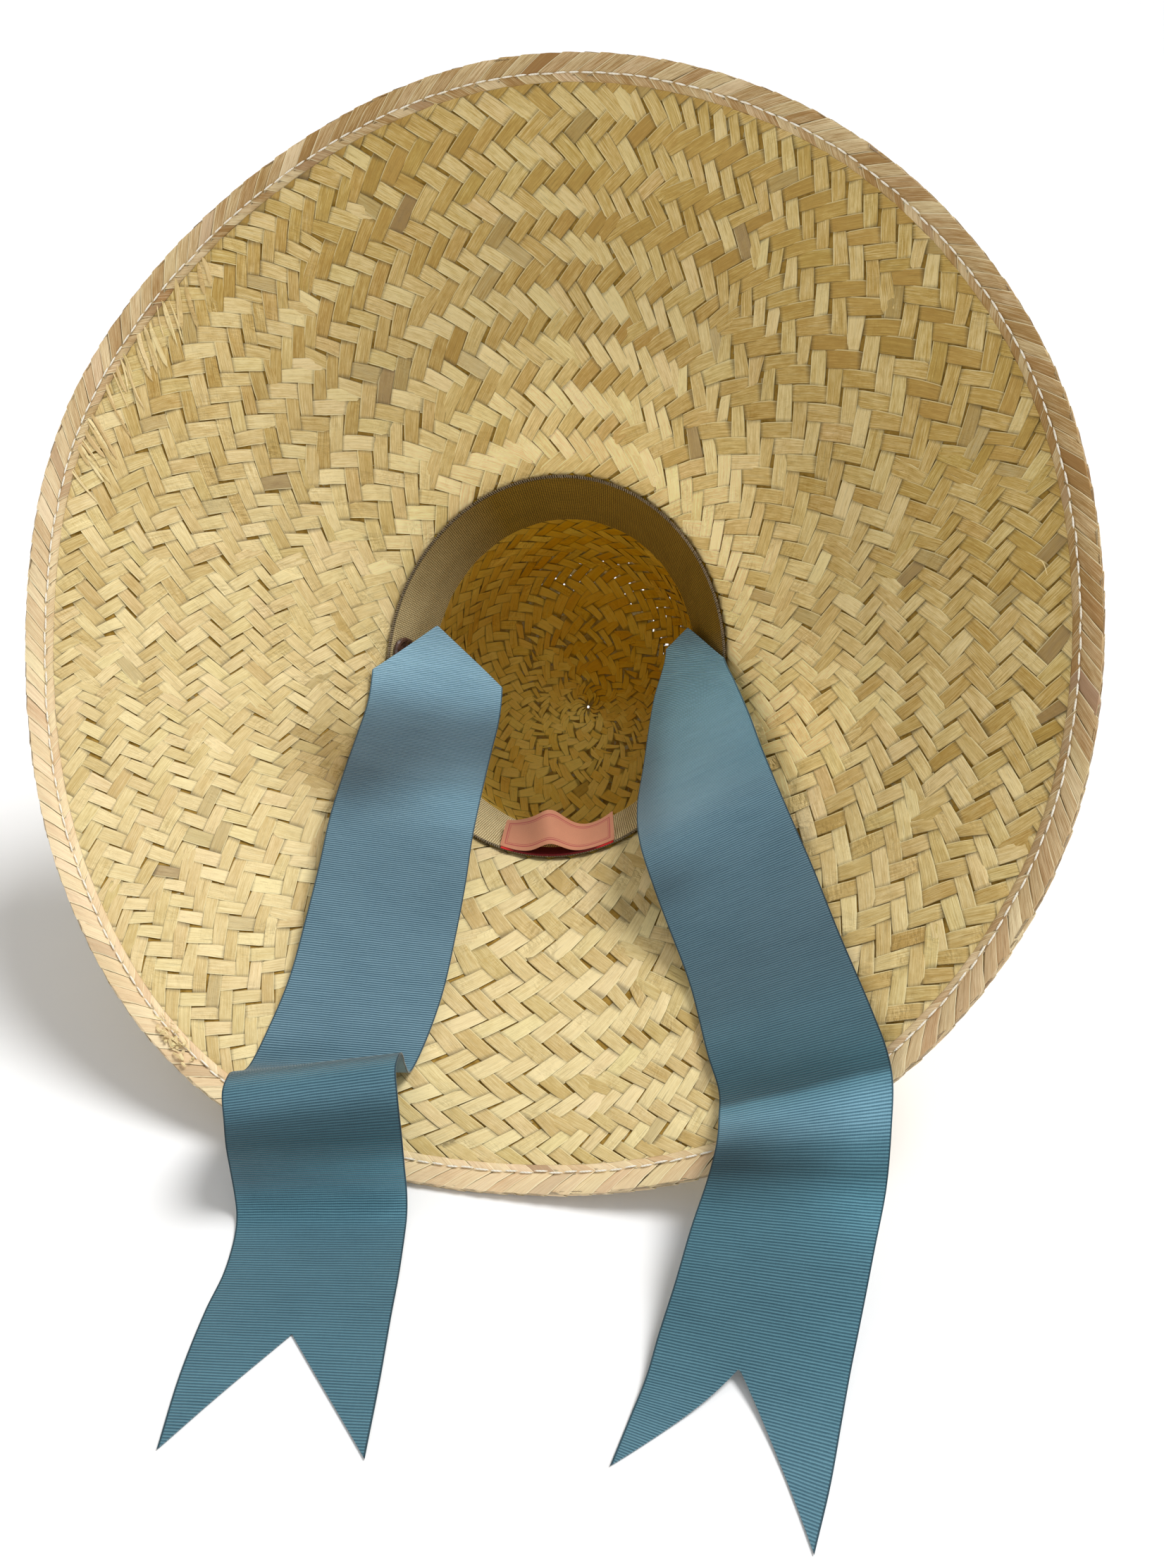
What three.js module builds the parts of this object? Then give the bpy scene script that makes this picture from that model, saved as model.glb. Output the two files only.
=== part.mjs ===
// Woven straw sun hat with ribbon ties, lying on its side on a flat surface with its underside facing -Y.
// Millimetres, +Z up. The hat is built in a frame of its own (x across, y towards the front of the head,
// z out of the head opening) and is turned as one group. The ribbons are built where they lie.
import * as THREE from 'three';

// ---------- sizes ----------
const STRAW_THICKNESS = 2.0;      // two crossing layers of palm strip
const GAP = 0.35;                 // clearance between pieces that touch
const OPENING_HALF_X = 84;        // head opening, half width at the bend between crown and brim
const OPENING_HALF_Y = 95;        // head opening, half length
const CROWN_DEPTH = 109;          // from the opening to the top of the crown
const BRIM_RISE = 104;            // how far the rim stands out in front of the opening
const BRIM_SAG = 3;               // less rise at the back, where the brim lies on the surface
const BRIM_BOW = 0.06;            // share of the rise by which the brim bows between bend and rim
const RIM_WAVE = 1.6;             // height of the soft waves in the rim
const RIM_WAVES = 5;              // number of these waves

// Rim distance from the middle of the opening, every 30 degrees from +x towards +y.
const RIM_STEP_DEG = 30;
const RIM_RADII = [222.5, 225.5, 233, 233.5, 225, 215, 205.5, 212.5, 224, 225, 231, 228.5];

// Crown profile: depth below the opening, and width as a share of the opening.
const CROWN_PROFILE = [
  { depth: 0, share: 1.0 },
  { depth: 12, share: 0.962 },
  { depth: 30, share: 0.922 },
  { depth: 52, share: 0.888 },
  { depth: 74, share: 0.85 },
  { depth: 90, share: 0.795 },
  { depth: 101, share: 0.7 },
  { depth: 106.5, share: 0.56 },
  { depth: CROWN_DEPTH - 0.8, share: 0.36 },
  { depth: CROWN_DEPTH - 0.2, share: 0.16 },
];

const BINDING_WIDTH = 9.5;        // how far the plait reaches over each face of the brim
const BINDING_THICKNESS = 1.1;
const BINDING_FOLD = 0.9;         // how far the fold stands out past the rim, beyond the gap
const BINDING_SHOULDER = 0.8;     // the fold's flat, as a share of the plait's opening

const BAND_WIDTH_ALONG = 27;      // sweatband, measured along the head opening's axis
const BAND_LEAN = 15.5;           // how far its free edge leans in
const BAND_LEAN_LESS = 3.5;       // less than that at the front of the head
const BAND_THICKNESS = 0.9;
const BAND_INSET = 1.5;           // its sewn edge lies this far inside the opening's bend
const BAND_STAND = 0.9;           // and this far in front of it

const LABEL_LENGTH = 57;
const LABEL_HEIGHT = 17;
const LABEL_THICKNESS = 0.6;
const LABEL_BOW = 5.2;            // a hump of its lower edge stands off the band
const LABEL_BOW_AT = 0.45;        // where that hump is, as a share of the length
const LABEL_BOW_WIDTH = 0.15;
const LABEL_LIFT_DEG = 12;        // it turns up off the band
const LABEL_BUCKLE_DEG = 38;      // and more than that at its buckle
const LABEL_BUCKLE_AT = 0.35;
const LABEL_BUCKLE_WIDTH = 0.26;
const LABEL_CORNER_DEG = 13;      // and at its right end
const LABEL_FLARE = 0.14;         // spreads its upper edge, which stands nearer the middle of the opening
const LABEL_ANGLE_DEG = -88.3;    // place on the band, at the back of the head
const LABEL_FROM_EDGE = 0.5;      // from the band's sewn edge

const BUTTON_RADIUS = 7.5;
const BUTTON_THICKNESS = 2.6;
const BUTTON_DISH = 0.9;
const BUTTON_RIM = 2;             // width of the raised rim round the dish
const BUTTON_EDGE = 0.8;          // bevel
const BUTTON_DEPTH = 8;           // below the opening
const BUTTON_ANGLES_DEG = { left: 173, right: -12 };

const RIBBON_THICKNESS = 0.8;

// ---------- how the hat lies ----------
const HAT_TURN = {
  tiltDeg: 51.03,                 // about the x axis
  leanDeg: -9.39,                 // then about the hat's own y axis
};
const HAT_PLACE = new THREE.Vector3(8.8, 106.4, 116.59);
// Moves everything so that its bounding box stands on z = 0 with the z axis through its middle.
const CENTRE_SHIFT = new THREE.Vector3(-0.25, 4.89, 0);

const RAD = Math.PI / 180;

// ---------- colours ----------
const paint = (color, roughness, metalness = 0) =>
  new THREE.MeshStandardMaterial({ color, roughness, metalness });
const STRAW = paint(0xd9c07f, 0.62);
const PLAIT = paint(0xc9a27c, 0.66);
const BAND_CLOTH = paint(0x8c714c, 0.85);
const LABEL_CLOTH = paint(0xd9a08f, 0.7);
const BUTTON_BROWN = paint(0x4a2f1c, 0.35);
const RIBBON_BLUE = paint(0x4f7f98, 0.6);

// ---------- closed bodies from two faces ----------

// A smooth closed curve through evenly spaced values.
function ringValue(values, stepDeg, angle) {
  const place = ((angle / RAD / stepDeg) % values.length + values.length) % values.length;
  const index = Math.floor(place);
  const f = place - index;
  const at = (k) => values[(index + k + values.length) % values.length];
  const [a, b, c, d] = [at(-1), at(0), at(1), at(2)];
  return b + 0.5 * f * (c - a + f * (2 * a - 5 * b + 4 * c - d + f * (3 * (b - c) + d - a)));
}

// Surface normal of a function of two parameters, by differences.
const NORMAL_STEP = 1e-3;
function normalOf(surface, a, b) {
  const step = NORMAL_STEP;
  const alongA = surface(a + step, b).sub(surface(a - step, b));
  const alongB = surface(a, b + step).sub(surface(a, b - step));
  return alongA.cross(alongB).normalize();
}

// Joins rows of points into a closed body. Each row is a ring or a strip of equal length.
class BodyBuilder {
  constructor() {
    this.points = [];
    this.faces = [];
  }
  row(points) {
    const first = this.points.length;
    this.points.push(...points);
    return points.map((_, i) => first + i);
  }
  quad(a, b, c, d) {
    this.faces.push(a, b, c, a, c, d);
  }
  bridge(rowA, rowB, closed) {
    const count = closed ? rowA.length : rowA.length - 1;
    for (let i = 0; i < count; i++) {
      const j = (i + 1) % rowA.length;
      this.quad(rowA[i], rowA[j], rowB[j], rowB[i]);
    }
  }
  fan(row, tip) {
    for (let i = 0; i < row.length; i++) {
      this.faces.push(row[i], row[(i + 1) % row.length], tip);
    }
  }
  geometry() {
    const geometry = new THREE.BufferGeometry();
    const flat = this.points.flatMap((p) => [p.x, p.y, p.z]);
    geometry.setAttribute('position', new THREE.Float32BufferAttribute(flat, 3));
    geometry.setIndex(outward(flat, this.faces));
    geometry.computeVertexNormals();
    return geometry;
  }
}

// Turns all the triangles over if the body's volume comes out negative.
function outward(flat, faces) {
  let volume = 0;
  const point = (i) => new THREE.Vector3(flat[3 * i], flat[3 * i + 1], flat[3 * i + 2]);
  for (let i = 0; i < faces.length; i += 3) {
    volume += point(faces[i]).dot(point(faces[i + 1]).cross(point(faces[i + 2])));
  }
  if (volume > 0) return faces;
  const turned = [];
  for (let i = 0; i < faces.length; i += 3) {
    turned.push(faces[i], faces[i + 2], faces[i + 1]);
  }
  return turned;
}

// A strip of cloth: front and back faces and the four edges.
function stripBody(surface, rows, columns, thickness) {
  const body = new BodyBuilder();
  const side = (sign) => {
    const grid = [];
    for (let j = 0; j <= rows; j++) {
      const line = [];
      for (let i = 0; i <= columns; i++) {
        const normal = normalOf(surface, i / columns, j / rows);
        line.push(surface(i / columns, j / rows).addScaledVector(normal, sign * thickness / 2));
      }
      grid.push(body.row(line));
    }
    return grid;
  };
  const front = side(1);
  const back = side(-1);
  for (let j = 0; j < rows; j++) {
    body.bridge(front[j], front[j + 1], false);
    body.bridge(back[j + 1], back[j], false);
    body.quad(front[j][0], front[j + 1][0], back[j + 1][0], back[j][0]);
    body.quad(back[j][columns], back[j + 1][columns], front[j + 1][columns], front[j][columns]);
  }
  body.bridge(back[0], front[0], false);
  body.bridge(front[rows], back[rows], false);
  return body.geometry();
}

// A ring whose section is a closed loop of points, given for each angle.
function ringBody(section, segments) {
  const body = new BodyBuilder();
  const rings = [];
  const loop = section(0).length;
  for (let k = 0; k < loop; k++) {
    const ring = [];
    for (let i = 0; i < segments; i++) ring.push(section(2 * Math.PI * i / segments)[k]);
    rings.push(body.row(ring));
  }
  for (let k = 0; k < loop; k++) body.bridge(rings[k], rings[(k + 1) % loop], true);
  return body.geometry();
}

// ---------- the woven straw body ----------

// Distance of the opening's edge from its middle.
function openingRadius(angle) {
  return 1 / Math.hypot(Math.cos(angle) / OPENING_HALF_X, Math.sin(angle) / OPENING_HALF_Y);
}

// Brim: share 0 at the bend, 1 at the rim.
function brimPoint(angle, share) {
  const inner = openingRadius(angle);
  const radius = inner + (ringValue(RIM_RADII, RIM_STEP_DEG, angle) - inner) * share;
  const sag = BRIM_SAG * Math.max(0, -Math.sin(angle)) ** 2;
  const wave = RIM_WAVE * share ** 2 * Math.sin(RIM_WAVES * angle);
  const rise = (BRIM_RISE - sag) * (share + BRIM_BOW * Math.sin(Math.PI * share)) + wave;
  return new THREE.Vector3(radius * Math.cos(angle), radius * Math.sin(angle), rise);
}

// Crown: place counts the rows of the profile from the opening to the top.
const crownCurve = new THREE.SplineCurve(
  CROWN_PROFILE.map((row) => new THREE.Vector2(row.share, -row.depth)));
function crownPoint(angle, place) {
  const { x: share, y: height } = crownCurve.getPoint(place);
  const radius = openingRadius(angle) * share;
  return new THREE.Vector3(radius * Math.cos(angle), radius * Math.sin(angle), height);
}

const BODY_SEGMENTS = 60;
const BRIM_ROWS = 7;
const CROWN_ROWS = 11;

function strawBody() {
  const body = new BodyBuilder();
  const half = STRAW_THICKNESS / 2;
  const stations = [];
  for (let j = 0; j <= BRIM_ROWS; j++) {
    stations.push({ surface: brimPoint, place: 1 - j / BRIM_ROWS, turn: 1 });
  }
  for (let j = 1; j <= CROWN_ROWS; j++) {
    stations.push({ surface: crownPoint, place: j / CROWN_ROWS, turn: -1 });
  }
  const face = (sign) => stations.map(({ surface, place, turn }) => {
    const ring = [];
    for (let i = 0; i < BODY_SEGMENTS; i++) {
      const angle = 2 * Math.PI * i / BODY_SEGMENTS;
      const inside = Math.min(Math.max(place, 2 * NORMAL_STEP), 1 - 2 * NORMAL_STEP);
      const normal = normalOf(surface, angle, inside).multiplyScalar(-turn);
      ring.push(surface(angle, place).addScaledVector(normal, sign * half));
    }
    return body.row(ring);
  });
  const inner = face(-1);
  const outer = face(1);
  for (let j = 0; j + 1 < stations.length; j++) {
    body.bridge(inner[j], inner[j + 1], true);
    body.bridge(outer[j + 1], outer[j], true);
  }
  body.bridge(outer[0], inner[0], true);
  const [innerTip] = body.row([new THREE.Vector3(0, 0, -CROWN_DEPTH + half)]);
  const [outerTip] = body.row([new THREE.Vector3(0, 0, -CROWN_DEPTH - half)]);
  body.fan(inner.at(-1), innerTip);
  body.fan([...outer.at(-1)].reverse(), outerTip);
  return body.geometry();
}

// ---------- the plait folded over the rim ----------
function bindingSection(angle) {
  const rim = brimPoint(angle, 1);
  const back = brimPoint(angle, 1 - BINDING_WIDTH / RIM_RADII[0]);
  const out = rim.clone().sub(back).normalize();
  const normal = normalOf(brimPoint, angle, 1 - 2 * NORMAL_STEP);
  const inner = STRAW_THICKNESS / 2 + GAP;
  const outer = inner + BINDING_THICKNESS;
  const at = (along, across) => rim.clone().addScaledVector(out, along).addScaledVector(normal, across);
  const fold = GAP + BINDING_FOLD;
  const shoulder = inner * BINDING_SHOULDER;
  return [
    at(-BINDING_WIDTH, outer), at(0, outer), at(fold, shoulder),
    at(fold, -shoulder), at(0, -outer), at(-BINDING_WIDTH, -outer),
    at(-BINDING_WIDTH, -inner), at(GAP, -inner), at(GAP, inner), at(-BINDING_WIDTH, inner),
  ];
}

// ---------- sweatband, label and buttons ----------

// Band: depth 0 at the sewn edge, 1 at the free edge. The middle of its thickness.
function bandPoint(angle, depth) {
  const lean = BAND_LEAN - BAND_LEAN_LESS * Math.max(0, Math.sin(angle));
  const radius = openingRadius(angle) - BAND_INSET - lean * depth;
  return new THREE.Vector3(
    radius * Math.cos(angle), radius * Math.sin(angle), BAND_STAND - BAND_WIDTH_ALONG * depth);
}

const BAND_STEPS = 3;
function bandSection(angle) {
  const section = [];
  const side = (depth, sign) => {
    const normal = normalOf(bandPoint, angle, depth);
    return bandPoint(angle, depth).addScaledVector(normal, sign * BAND_THICKNESS / 2);
  };
  for (let k = 0; k <= BAND_STEPS; k++) section.push(side(k / BAND_STEPS, 1));
  for (let k = BAND_STEPS; k >= 0; k--) section.push(side(k / BAND_STEPS, -1));
  return section;
}

// A place on the band's inner face, raised by a height: angle, and distance from the sewn edge.
const BAND_SLANT = Math.hypot(BAND_LEAN, BAND_WIDTH_ALONG);
function onBand(angle, distance, height) {
  const depth = distance / BAND_SLANT;
  const normal = normalOf(bandPoint, angle, depth);
  const middle = new THREE.Vector3(0, 0, 0).sub(bandPoint(angle, depth)).setZ(0);
  if (normal.dot(middle) < 0) normal.negate();
  return bandPoint(angle, depth).addScaledVector(normal, BAND_THICKNESS / 2 + height);
}

function labelSurface(across, up) {
  const radius = openingRadius(LABEL_ANGLE_DEG * RAD) - BAND_INSET;
  const angle = LABEL_ANGLE_DEG * RAD + (across - 0.5) * (1 + LABEL_FLARE * up) * LABEL_LENGTH / radius;
  const hill = (at, width) => Math.exp(-(((across - at) / width) ** 2));
  const bow = LABEL_BOW * hill(LABEL_BOW_AT, LABEL_BOW_WIDTH);
  const lift = RAD * (LABEL_LIFT_DEG + LABEL_BUCKLE_DEG * hill(LABEL_BUCKLE_AT, LABEL_BUCKLE_WIDTH)
    + LABEL_CORNER_DEG * across ** 4);
  const stand = GAP + LABEL_THICKNESS / 2 + bow + LABEL_HEIGHT * up * Math.sin(lift);
  return onBand(angle, LABEL_FROM_EDGE + LABEL_HEIGHT * up * Math.cos(lift), stand);
}

const BUTTON_SIDES = 24;
function buttonGeometry() {
  const r = BUTTON_RADIUS;
  const t = BUTTON_THICKNESS;
  const e = BUTTON_EDGE;
  const profile = [
    [0, 0], [r - e, 0], [r, e], [r, t - e], [r - e, t], [r - BUTTON_RIM, t],
    [r - BUTTON_RIM - e, t - BUTTON_DISH], [0, t - BUTTON_DISH],
  ];
  const points = profile.map(([x, y]) => new THREE.Vector2(x, y));
  const geometry = new THREE.LatheGeometry(points, BUTTON_SIDES);
  return geometry.rotateX(Math.PI / 2);
}

function placeButton(mesh, angle) {
  const distance = BUTTON_DEPTH * BAND_SLANT / BAND_WIDTH_ALONG;
  // The band is hollow towards the button, so its middle stands off by the height of that hollow.
  const hollow = BUTTON_RADIUS ** 2 / (2 * openingRadius(angle));
  const foot = onBand(angle, distance, GAP + hollow);
  const above = onBand(angle, distance, GAP + hollow + 10);
  mesh.position.copy(foot);
  mesh.quaternion.setFromUnitVectors(new THREE.Vector3(0, 0, 1), above.sub(foot).normalize());
  return mesh;
}

// ---------- ribbon ties ----------
// Each row is one crossing of the ribbon: its left edge, then its right edge, as x, y, z.
const LEFT_RIBBON = {
  rows: [
    [-80, 134, 128, -18, 134, 119],
    [-79, 110, 111, -16, 110, 101],
    [-80, 97, 101, -17, 97, 91],
    [-83, 77, 93, -20, 77, 83],
    [-86, 52, 86, -23, 52, 76],
    [-89, 30, 77, -26, 30, 66],
    [-91, 10, 66, -28, 10, 55],
    [-94, -12, 53.5, -31, -12, 43.5],
    [-98, -36, 40, -35, -36, 32],
    [-104, -56, 29.7, -41, -57, 23],
    [-108, -68, 24.8, -45, -67, 19.6],
    [-108, -79, 31, -45, -77, 33],
    [-106, -92, 44, -43, -89, 49],
    [-105, -100, 50, -42.5, -96, 57],
    [-105, -108, 50, -43, -104, 58],
    [-104, -114, 43, -42, -111, 50],
    [-104, -117, 33, -41, -116, 37],
    [-104, -118, 21, -41, -117, 22],
    [-104, -119, 9, -41, -118, 9],
    [-103.5, -122, 2.4, -41, -122, 2.4],
    [-102.5, -130, 0.6, -41, -130, 0.6],
    [-102.5, -145, 0.4, -41, -146, 0.4],
    [-105, -160, 0.4, -41.5, -162, 0.4],
    [-107, -183, 0.4, -42, -186, 0.4],
    [-107, -207, 0.4, -43, -210, 0.4],
  ],
  pointHeight: 30,
  firstRow: 1,
  notch: 40,
  notchAt: 0.5,
};
const RIGHT_RIBBON = {
  rows: [
    [62, 150, 120, 86, 94, 140],
    [66, 142, 107, 89, 89, 127],
    [59, 118, 90, 93, 73, 122],
    [52, 72, 78, 97.5, 52, 116],
    [48, 42, 75, 100.5, 37, 110.5],
    [48, 12, 75, 105, 17, 103.5],
    [53, -8, 67, 111, -1, 93.5],
    [58, -22, 59, 116, -19, 86],
    [66, -46, 47.5, 122, -49, 76.5],
    [71, -78, 39, 129, -83, 67],
    [74, -93, 35, 131.5, -100, 62.9],
    [73, -104, 34, 132, -110, 58.2],
    [71, -116, 33, 130.5, -122, 46],
    [67, -128, 29, 127, -137, 34],
    [60, -144, 22, 121, -153, 23],
    [54, -159, 14, 115, -169, 12],
    [48, -173, 7, 108.5, -186, 5],
    [43.5, -185, 2.6, 103.5, -200, 1.8],
    [38, -197, 0.6, 97, -218, 0.4],
    [31.5, -212, 0.4, 89, -237, 0.4],
  ],
  pointHeight: 13,
  firstRow: 1,
  notch: 44,
  notchAt: 0.45,
};

const LABEL_ROWS = 4;
const LABEL_COLUMNS = 18;
const RIBBON_SAMPLES = 400;
const RIBBON_ROWS = 46;
const RIBBON_COLUMNS = 4;

function ribbonSurface(table) {
  const edge = (from) => {
    const points = table.rows.map((row) => new THREE.Vector3(row[from], row[from + 1], row[from + 2]));
    return new THREE.CatmullRomCurve3(points, false, 'centripetal');
  };
  const left = edge(0);
  const right = edge(3);
  const last = table.rows.length - 1;
  const middleAt = (place) => left.getPoint(place).lerp(right.getPoint(place), 0.5);
  // Length along the middle line, at even steps of the row number.
  const lengths = [0];
  for (let k = 1; k <= RIBBON_SAMPLES; k++) {
    const before = middleAt((k - 1) / RIBBON_SAMPLES);
    lengths.push(lengths[k - 1] + middleAt(k / RIBBON_SAMPLES).distanceTo(before));
  }
  const placeAt = (length) => {
    let k = 1;
    while (k < RIBBON_SAMPLES && lengths[k] < length) k++;
    const f = (length - lengths[k - 1]) / (lengths[k] - lengths[k - 1]);
    return Math.min(1, Math.max(0, (k - 1 + f) / RIBBON_SAMPLES));
  };
  const lengthAtRow = (row) => lengths[Math.round(row / last * RIBBON_SAMPLES)];
  const top = lengthAtRow(table.firstRow);
  const total = lengths[RIBBON_SAMPLES];
  return (across, along) => {
    const fromMiddle = Math.abs(2 * across - 1);
    const fromNotch = across < table.notchAt
      ? 1 - across / table.notchAt : (across - table.notchAt) / (1 - table.notchAt);
    const start = top - Math.min(top, table.pointHeight) * Math.max(0, 1 - fromMiddle);
    const end = total - table.notch * Math.max(0, 1 - fromNotch);
    const place = placeAt(start + (end - start) * along);
    const point = left.getPoint(place).lerp(right.getPoint(place), across);
    return point.setZ(Math.max(point.z, RIBBON_THICKNESS / 2));
  };
}

// ---------- assembly ----------
const part = new THREE.Group();
const lying = new THREE.Group();
lying.position.copy(CENTRE_SHIFT);
part.add(lying);

function named(name, geometry, material) {
  const mesh = new THREE.Mesh(geometry, material);
  mesh.name = name;
  return mesh;
}

const hat = new THREE.Group();
hat.rotation.set(HAT_TURN.tiltDeg * RAD, HAT_TURN.leanDeg * RAD, 0);
hat.position.copy(HAT_PLACE);
lying.add(hat);

hat.add(named('straw_body', strawBody(), STRAW));
hat.add(named('edge_binding', ringBody(bindingSection, BODY_SEGMENTS), PLAIT));
hat.add(named('sweatband', ringBody(bandSection, BODY_SEGMENTS), BAND_CLOTH));
hat.add(named('label', stripBody(labelSurface, LABEL_ROWS, LABEL_COLUMNS, LABEL_THICKNESS), LABEL_CLOTH));
for (const [side, angleDeg] of Object.entries(BUTTON_ANGLES_DEG)) {
  hat.add(placeButton(named(`button_${side}`, buttonGeometry(), BUTTON_BROWN), angleDeg * RAD));
}
for (const [side, table] of Object.entries({ left: LEFT_RIBBON, right: RIGHT_RIBBON })) {
  const geometry = stripBody(ribbonSurface(table), RIBBON_ROWS, RIBBON_COLUMNS, RIBBON_THICKNESS);
  lying.add(named(`ribbon_${side}`, geometry, RIBBON_BLUE));
}

export default part;
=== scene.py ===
"""Straw sun hat: woven crown and brim, bound rim, sweatband, bare label, buttons and wide ribbon ties."""
import math

import bpy
import numpy as np
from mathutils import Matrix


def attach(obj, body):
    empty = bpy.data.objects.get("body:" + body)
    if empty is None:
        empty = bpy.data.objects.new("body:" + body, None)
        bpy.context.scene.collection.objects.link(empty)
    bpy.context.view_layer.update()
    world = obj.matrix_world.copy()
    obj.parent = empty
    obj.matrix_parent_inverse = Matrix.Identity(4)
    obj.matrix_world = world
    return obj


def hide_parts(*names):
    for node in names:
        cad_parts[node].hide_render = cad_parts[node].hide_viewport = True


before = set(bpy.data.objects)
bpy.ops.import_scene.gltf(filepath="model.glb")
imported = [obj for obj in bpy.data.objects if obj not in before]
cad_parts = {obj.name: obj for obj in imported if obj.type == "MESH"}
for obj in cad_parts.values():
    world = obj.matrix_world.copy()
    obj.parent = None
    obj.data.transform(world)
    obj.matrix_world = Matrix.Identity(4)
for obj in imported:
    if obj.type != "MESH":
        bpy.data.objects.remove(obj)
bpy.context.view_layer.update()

bl_info = {
    "name": "Straw Sun Hat",
    "version": (1, 0, 0),
    "blender": (4, 5, 0),
    "location": "View3D > Sidebar > Sun Hat",
    "description": "Woven straw sun hat with a bound rim, a ribbed sweatband and wide ribbon ties",
    "category": "Object",
}

MM = 0.001
FULL_TURN = 2 * math.pi
EULER = 2.718

# ---------- sizes shared with the construction model, in millimetres ----------
OPENING_HALF_X = 84.0
OPENING_HALF_Y = 95.0
CROWN_DEPTH = 109.0
BRIM_RISE = 104.0
BRIM_SAG = 3.0
BRIM_BOW = 0.06
RIM_WAVE = 1.6
RIM_WAVES = 5
# Rim distance from the middle of the opening, every 30 degrees from +x towards +y.
RIM_RADII = (222.5, 225.5, 233, 233.5, 225, 215, 205.5, 212.5, 224, 225, 231, 228.5)
# Crown profile: width as a share of the opening, and height.
CROWN_PROFILE = (
    (1.0, 0), (0.962, -12), (0.922, -30), (0.888, -52), (0.85, -74),
    (0.795, -90), (0.7, -101), (0.56, -106.5), (0.36, -108.2), (0.16, -108.8),
)
BAND_WIDTH_ALONG = 27.0
BAND_LEAN = 15.5
BAND_LEAN_LESS = 3.5
BAND_INSET = 1.5
BAND_STAND = 0.9
BAND_WIDTH = 31.0
OVERCAST_RUN = 565.0
LABEL_ANGLE = math.radians(-88.3)
LABEL_LENGTH = 57.0
LABEL_HEIGHT = 17.0
RIBBON_WIDTH = 64.0
RIBBON_GRID = (57, 330)
RIBBON_HALF_THICKNESS = 0.25
# The painted tones of the ties are placed on a scale of this length.
TONE_LENGTH = 400.0
TILT = math.radians(51.03)
LEAN = math.radians(-9.39)
HAT_PLACE = np.array([8.8, 106.4, 116.59])
CENTRE_SHIFT = np.array([-0.25, 4.89, 0.0])

# Ribbon crossings: left edge x, y, z, then right edge x, y, z.
LEFT_TIE = {
    "rows": (
        (-80, 134, 128, -18, 134, 119), (-79, 110, 111, -16, 110, 101), (-80, 97, 101, -17, 97, 91),
        (-83, 77, 93, -20, 77, 83), (-86, 52, 86, -23, 52, 76), (-89, 30, 77, -26, 30, 66),
        (-91, 10, 66, -28, 10, 55), (-94, -12, 53.5, -31, -12, 43.5), (-98, -36, 40, -35, -36, 32),
        (-104, -56, 29.7, -41, -57, 23), (-108, -68, 24.8, -45, -67, 19.6),
        (-108, -79, 31, -45, -77, 33), (-106, -92, 44, -43, -89, 49), (-105, -100, 50, -42.5, -96, 57),
        (-105, -108, 50, -43, -104, 58), (-104, -114, 43, -42, -111, 50),
        (-104, -117, 33, -41, -116, 37), (-104, -118, 21, -41, -117, 22), (-104, -119, 9, -41, -118, 9),
        (-103.5, -122, 2.4, -41, -122, 2.4), (-102.5, -130, 0.6, -41, -130, 0.6),
        (-102.5, -145, 0.4, -41, -146, 0.4), (-105, -160, 0.4, -41.5, -162, 0.4),
        (-107, -183, 0.4, -42, -186, 0.4), (-107, -207, 0.4, -43, -210, 0.4),
    ),
    "point": 30.0,
    "notch": 40.0,
    "notch_at": 0.5,
    # Light and shade painted along the tie, as a factor on its colour: millimetres from the button, factor.
    "bands": (
        (0, 0.90), (22, 1.0), (36, 0.80), (44, 0.54), (52, 0.36), (62, 0.27), (76, 0.23), (90, 0.25),
        (100, 0.35), (112, 0.40), (143, 0.39), (198, 0.45), (216, 0.46), (230, 0.40), (240, 0.36),
        (256, 0.28), (266, 0.23), (275, 0.20), (279, 0.34), (288, 0.36), (296, 0.19), (305, 0.15),
        (312, 0.22), (320, 0.37), (328, 0.46), (336, 0.42), (345, 0.31), (370, 0.30), (400, 0.34),
    ),
    # Further factor on the red of that painted light and shade: millimetres from the button, factor.
    "reds": (
        (0, 1.1), (56, 1.08), (100, 1.03), (222, 1.02), (240, 0.88), (262, 0.74), (276, 0.72),
        (284, 0.86), (292, 0.82), (304, 0.54), (314, 0.56), (324, 0.70), (345, 0.75), (400, 0.77),
    ),
    # Painted round spots of light and shade: across, along, half size across, half size along, change.
    "painted_fold_spots": (
        (58, 92, 24, 22, 0.75), (4, 98, 22, 14, -0.42), (4, 240, 28, 13, -0.35),
        (60, 242, 22, 14, 0.30), (60, 314, 22, 10, 0.40), (4, 322, 22, 9, -0.30),
    ),
}
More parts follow.
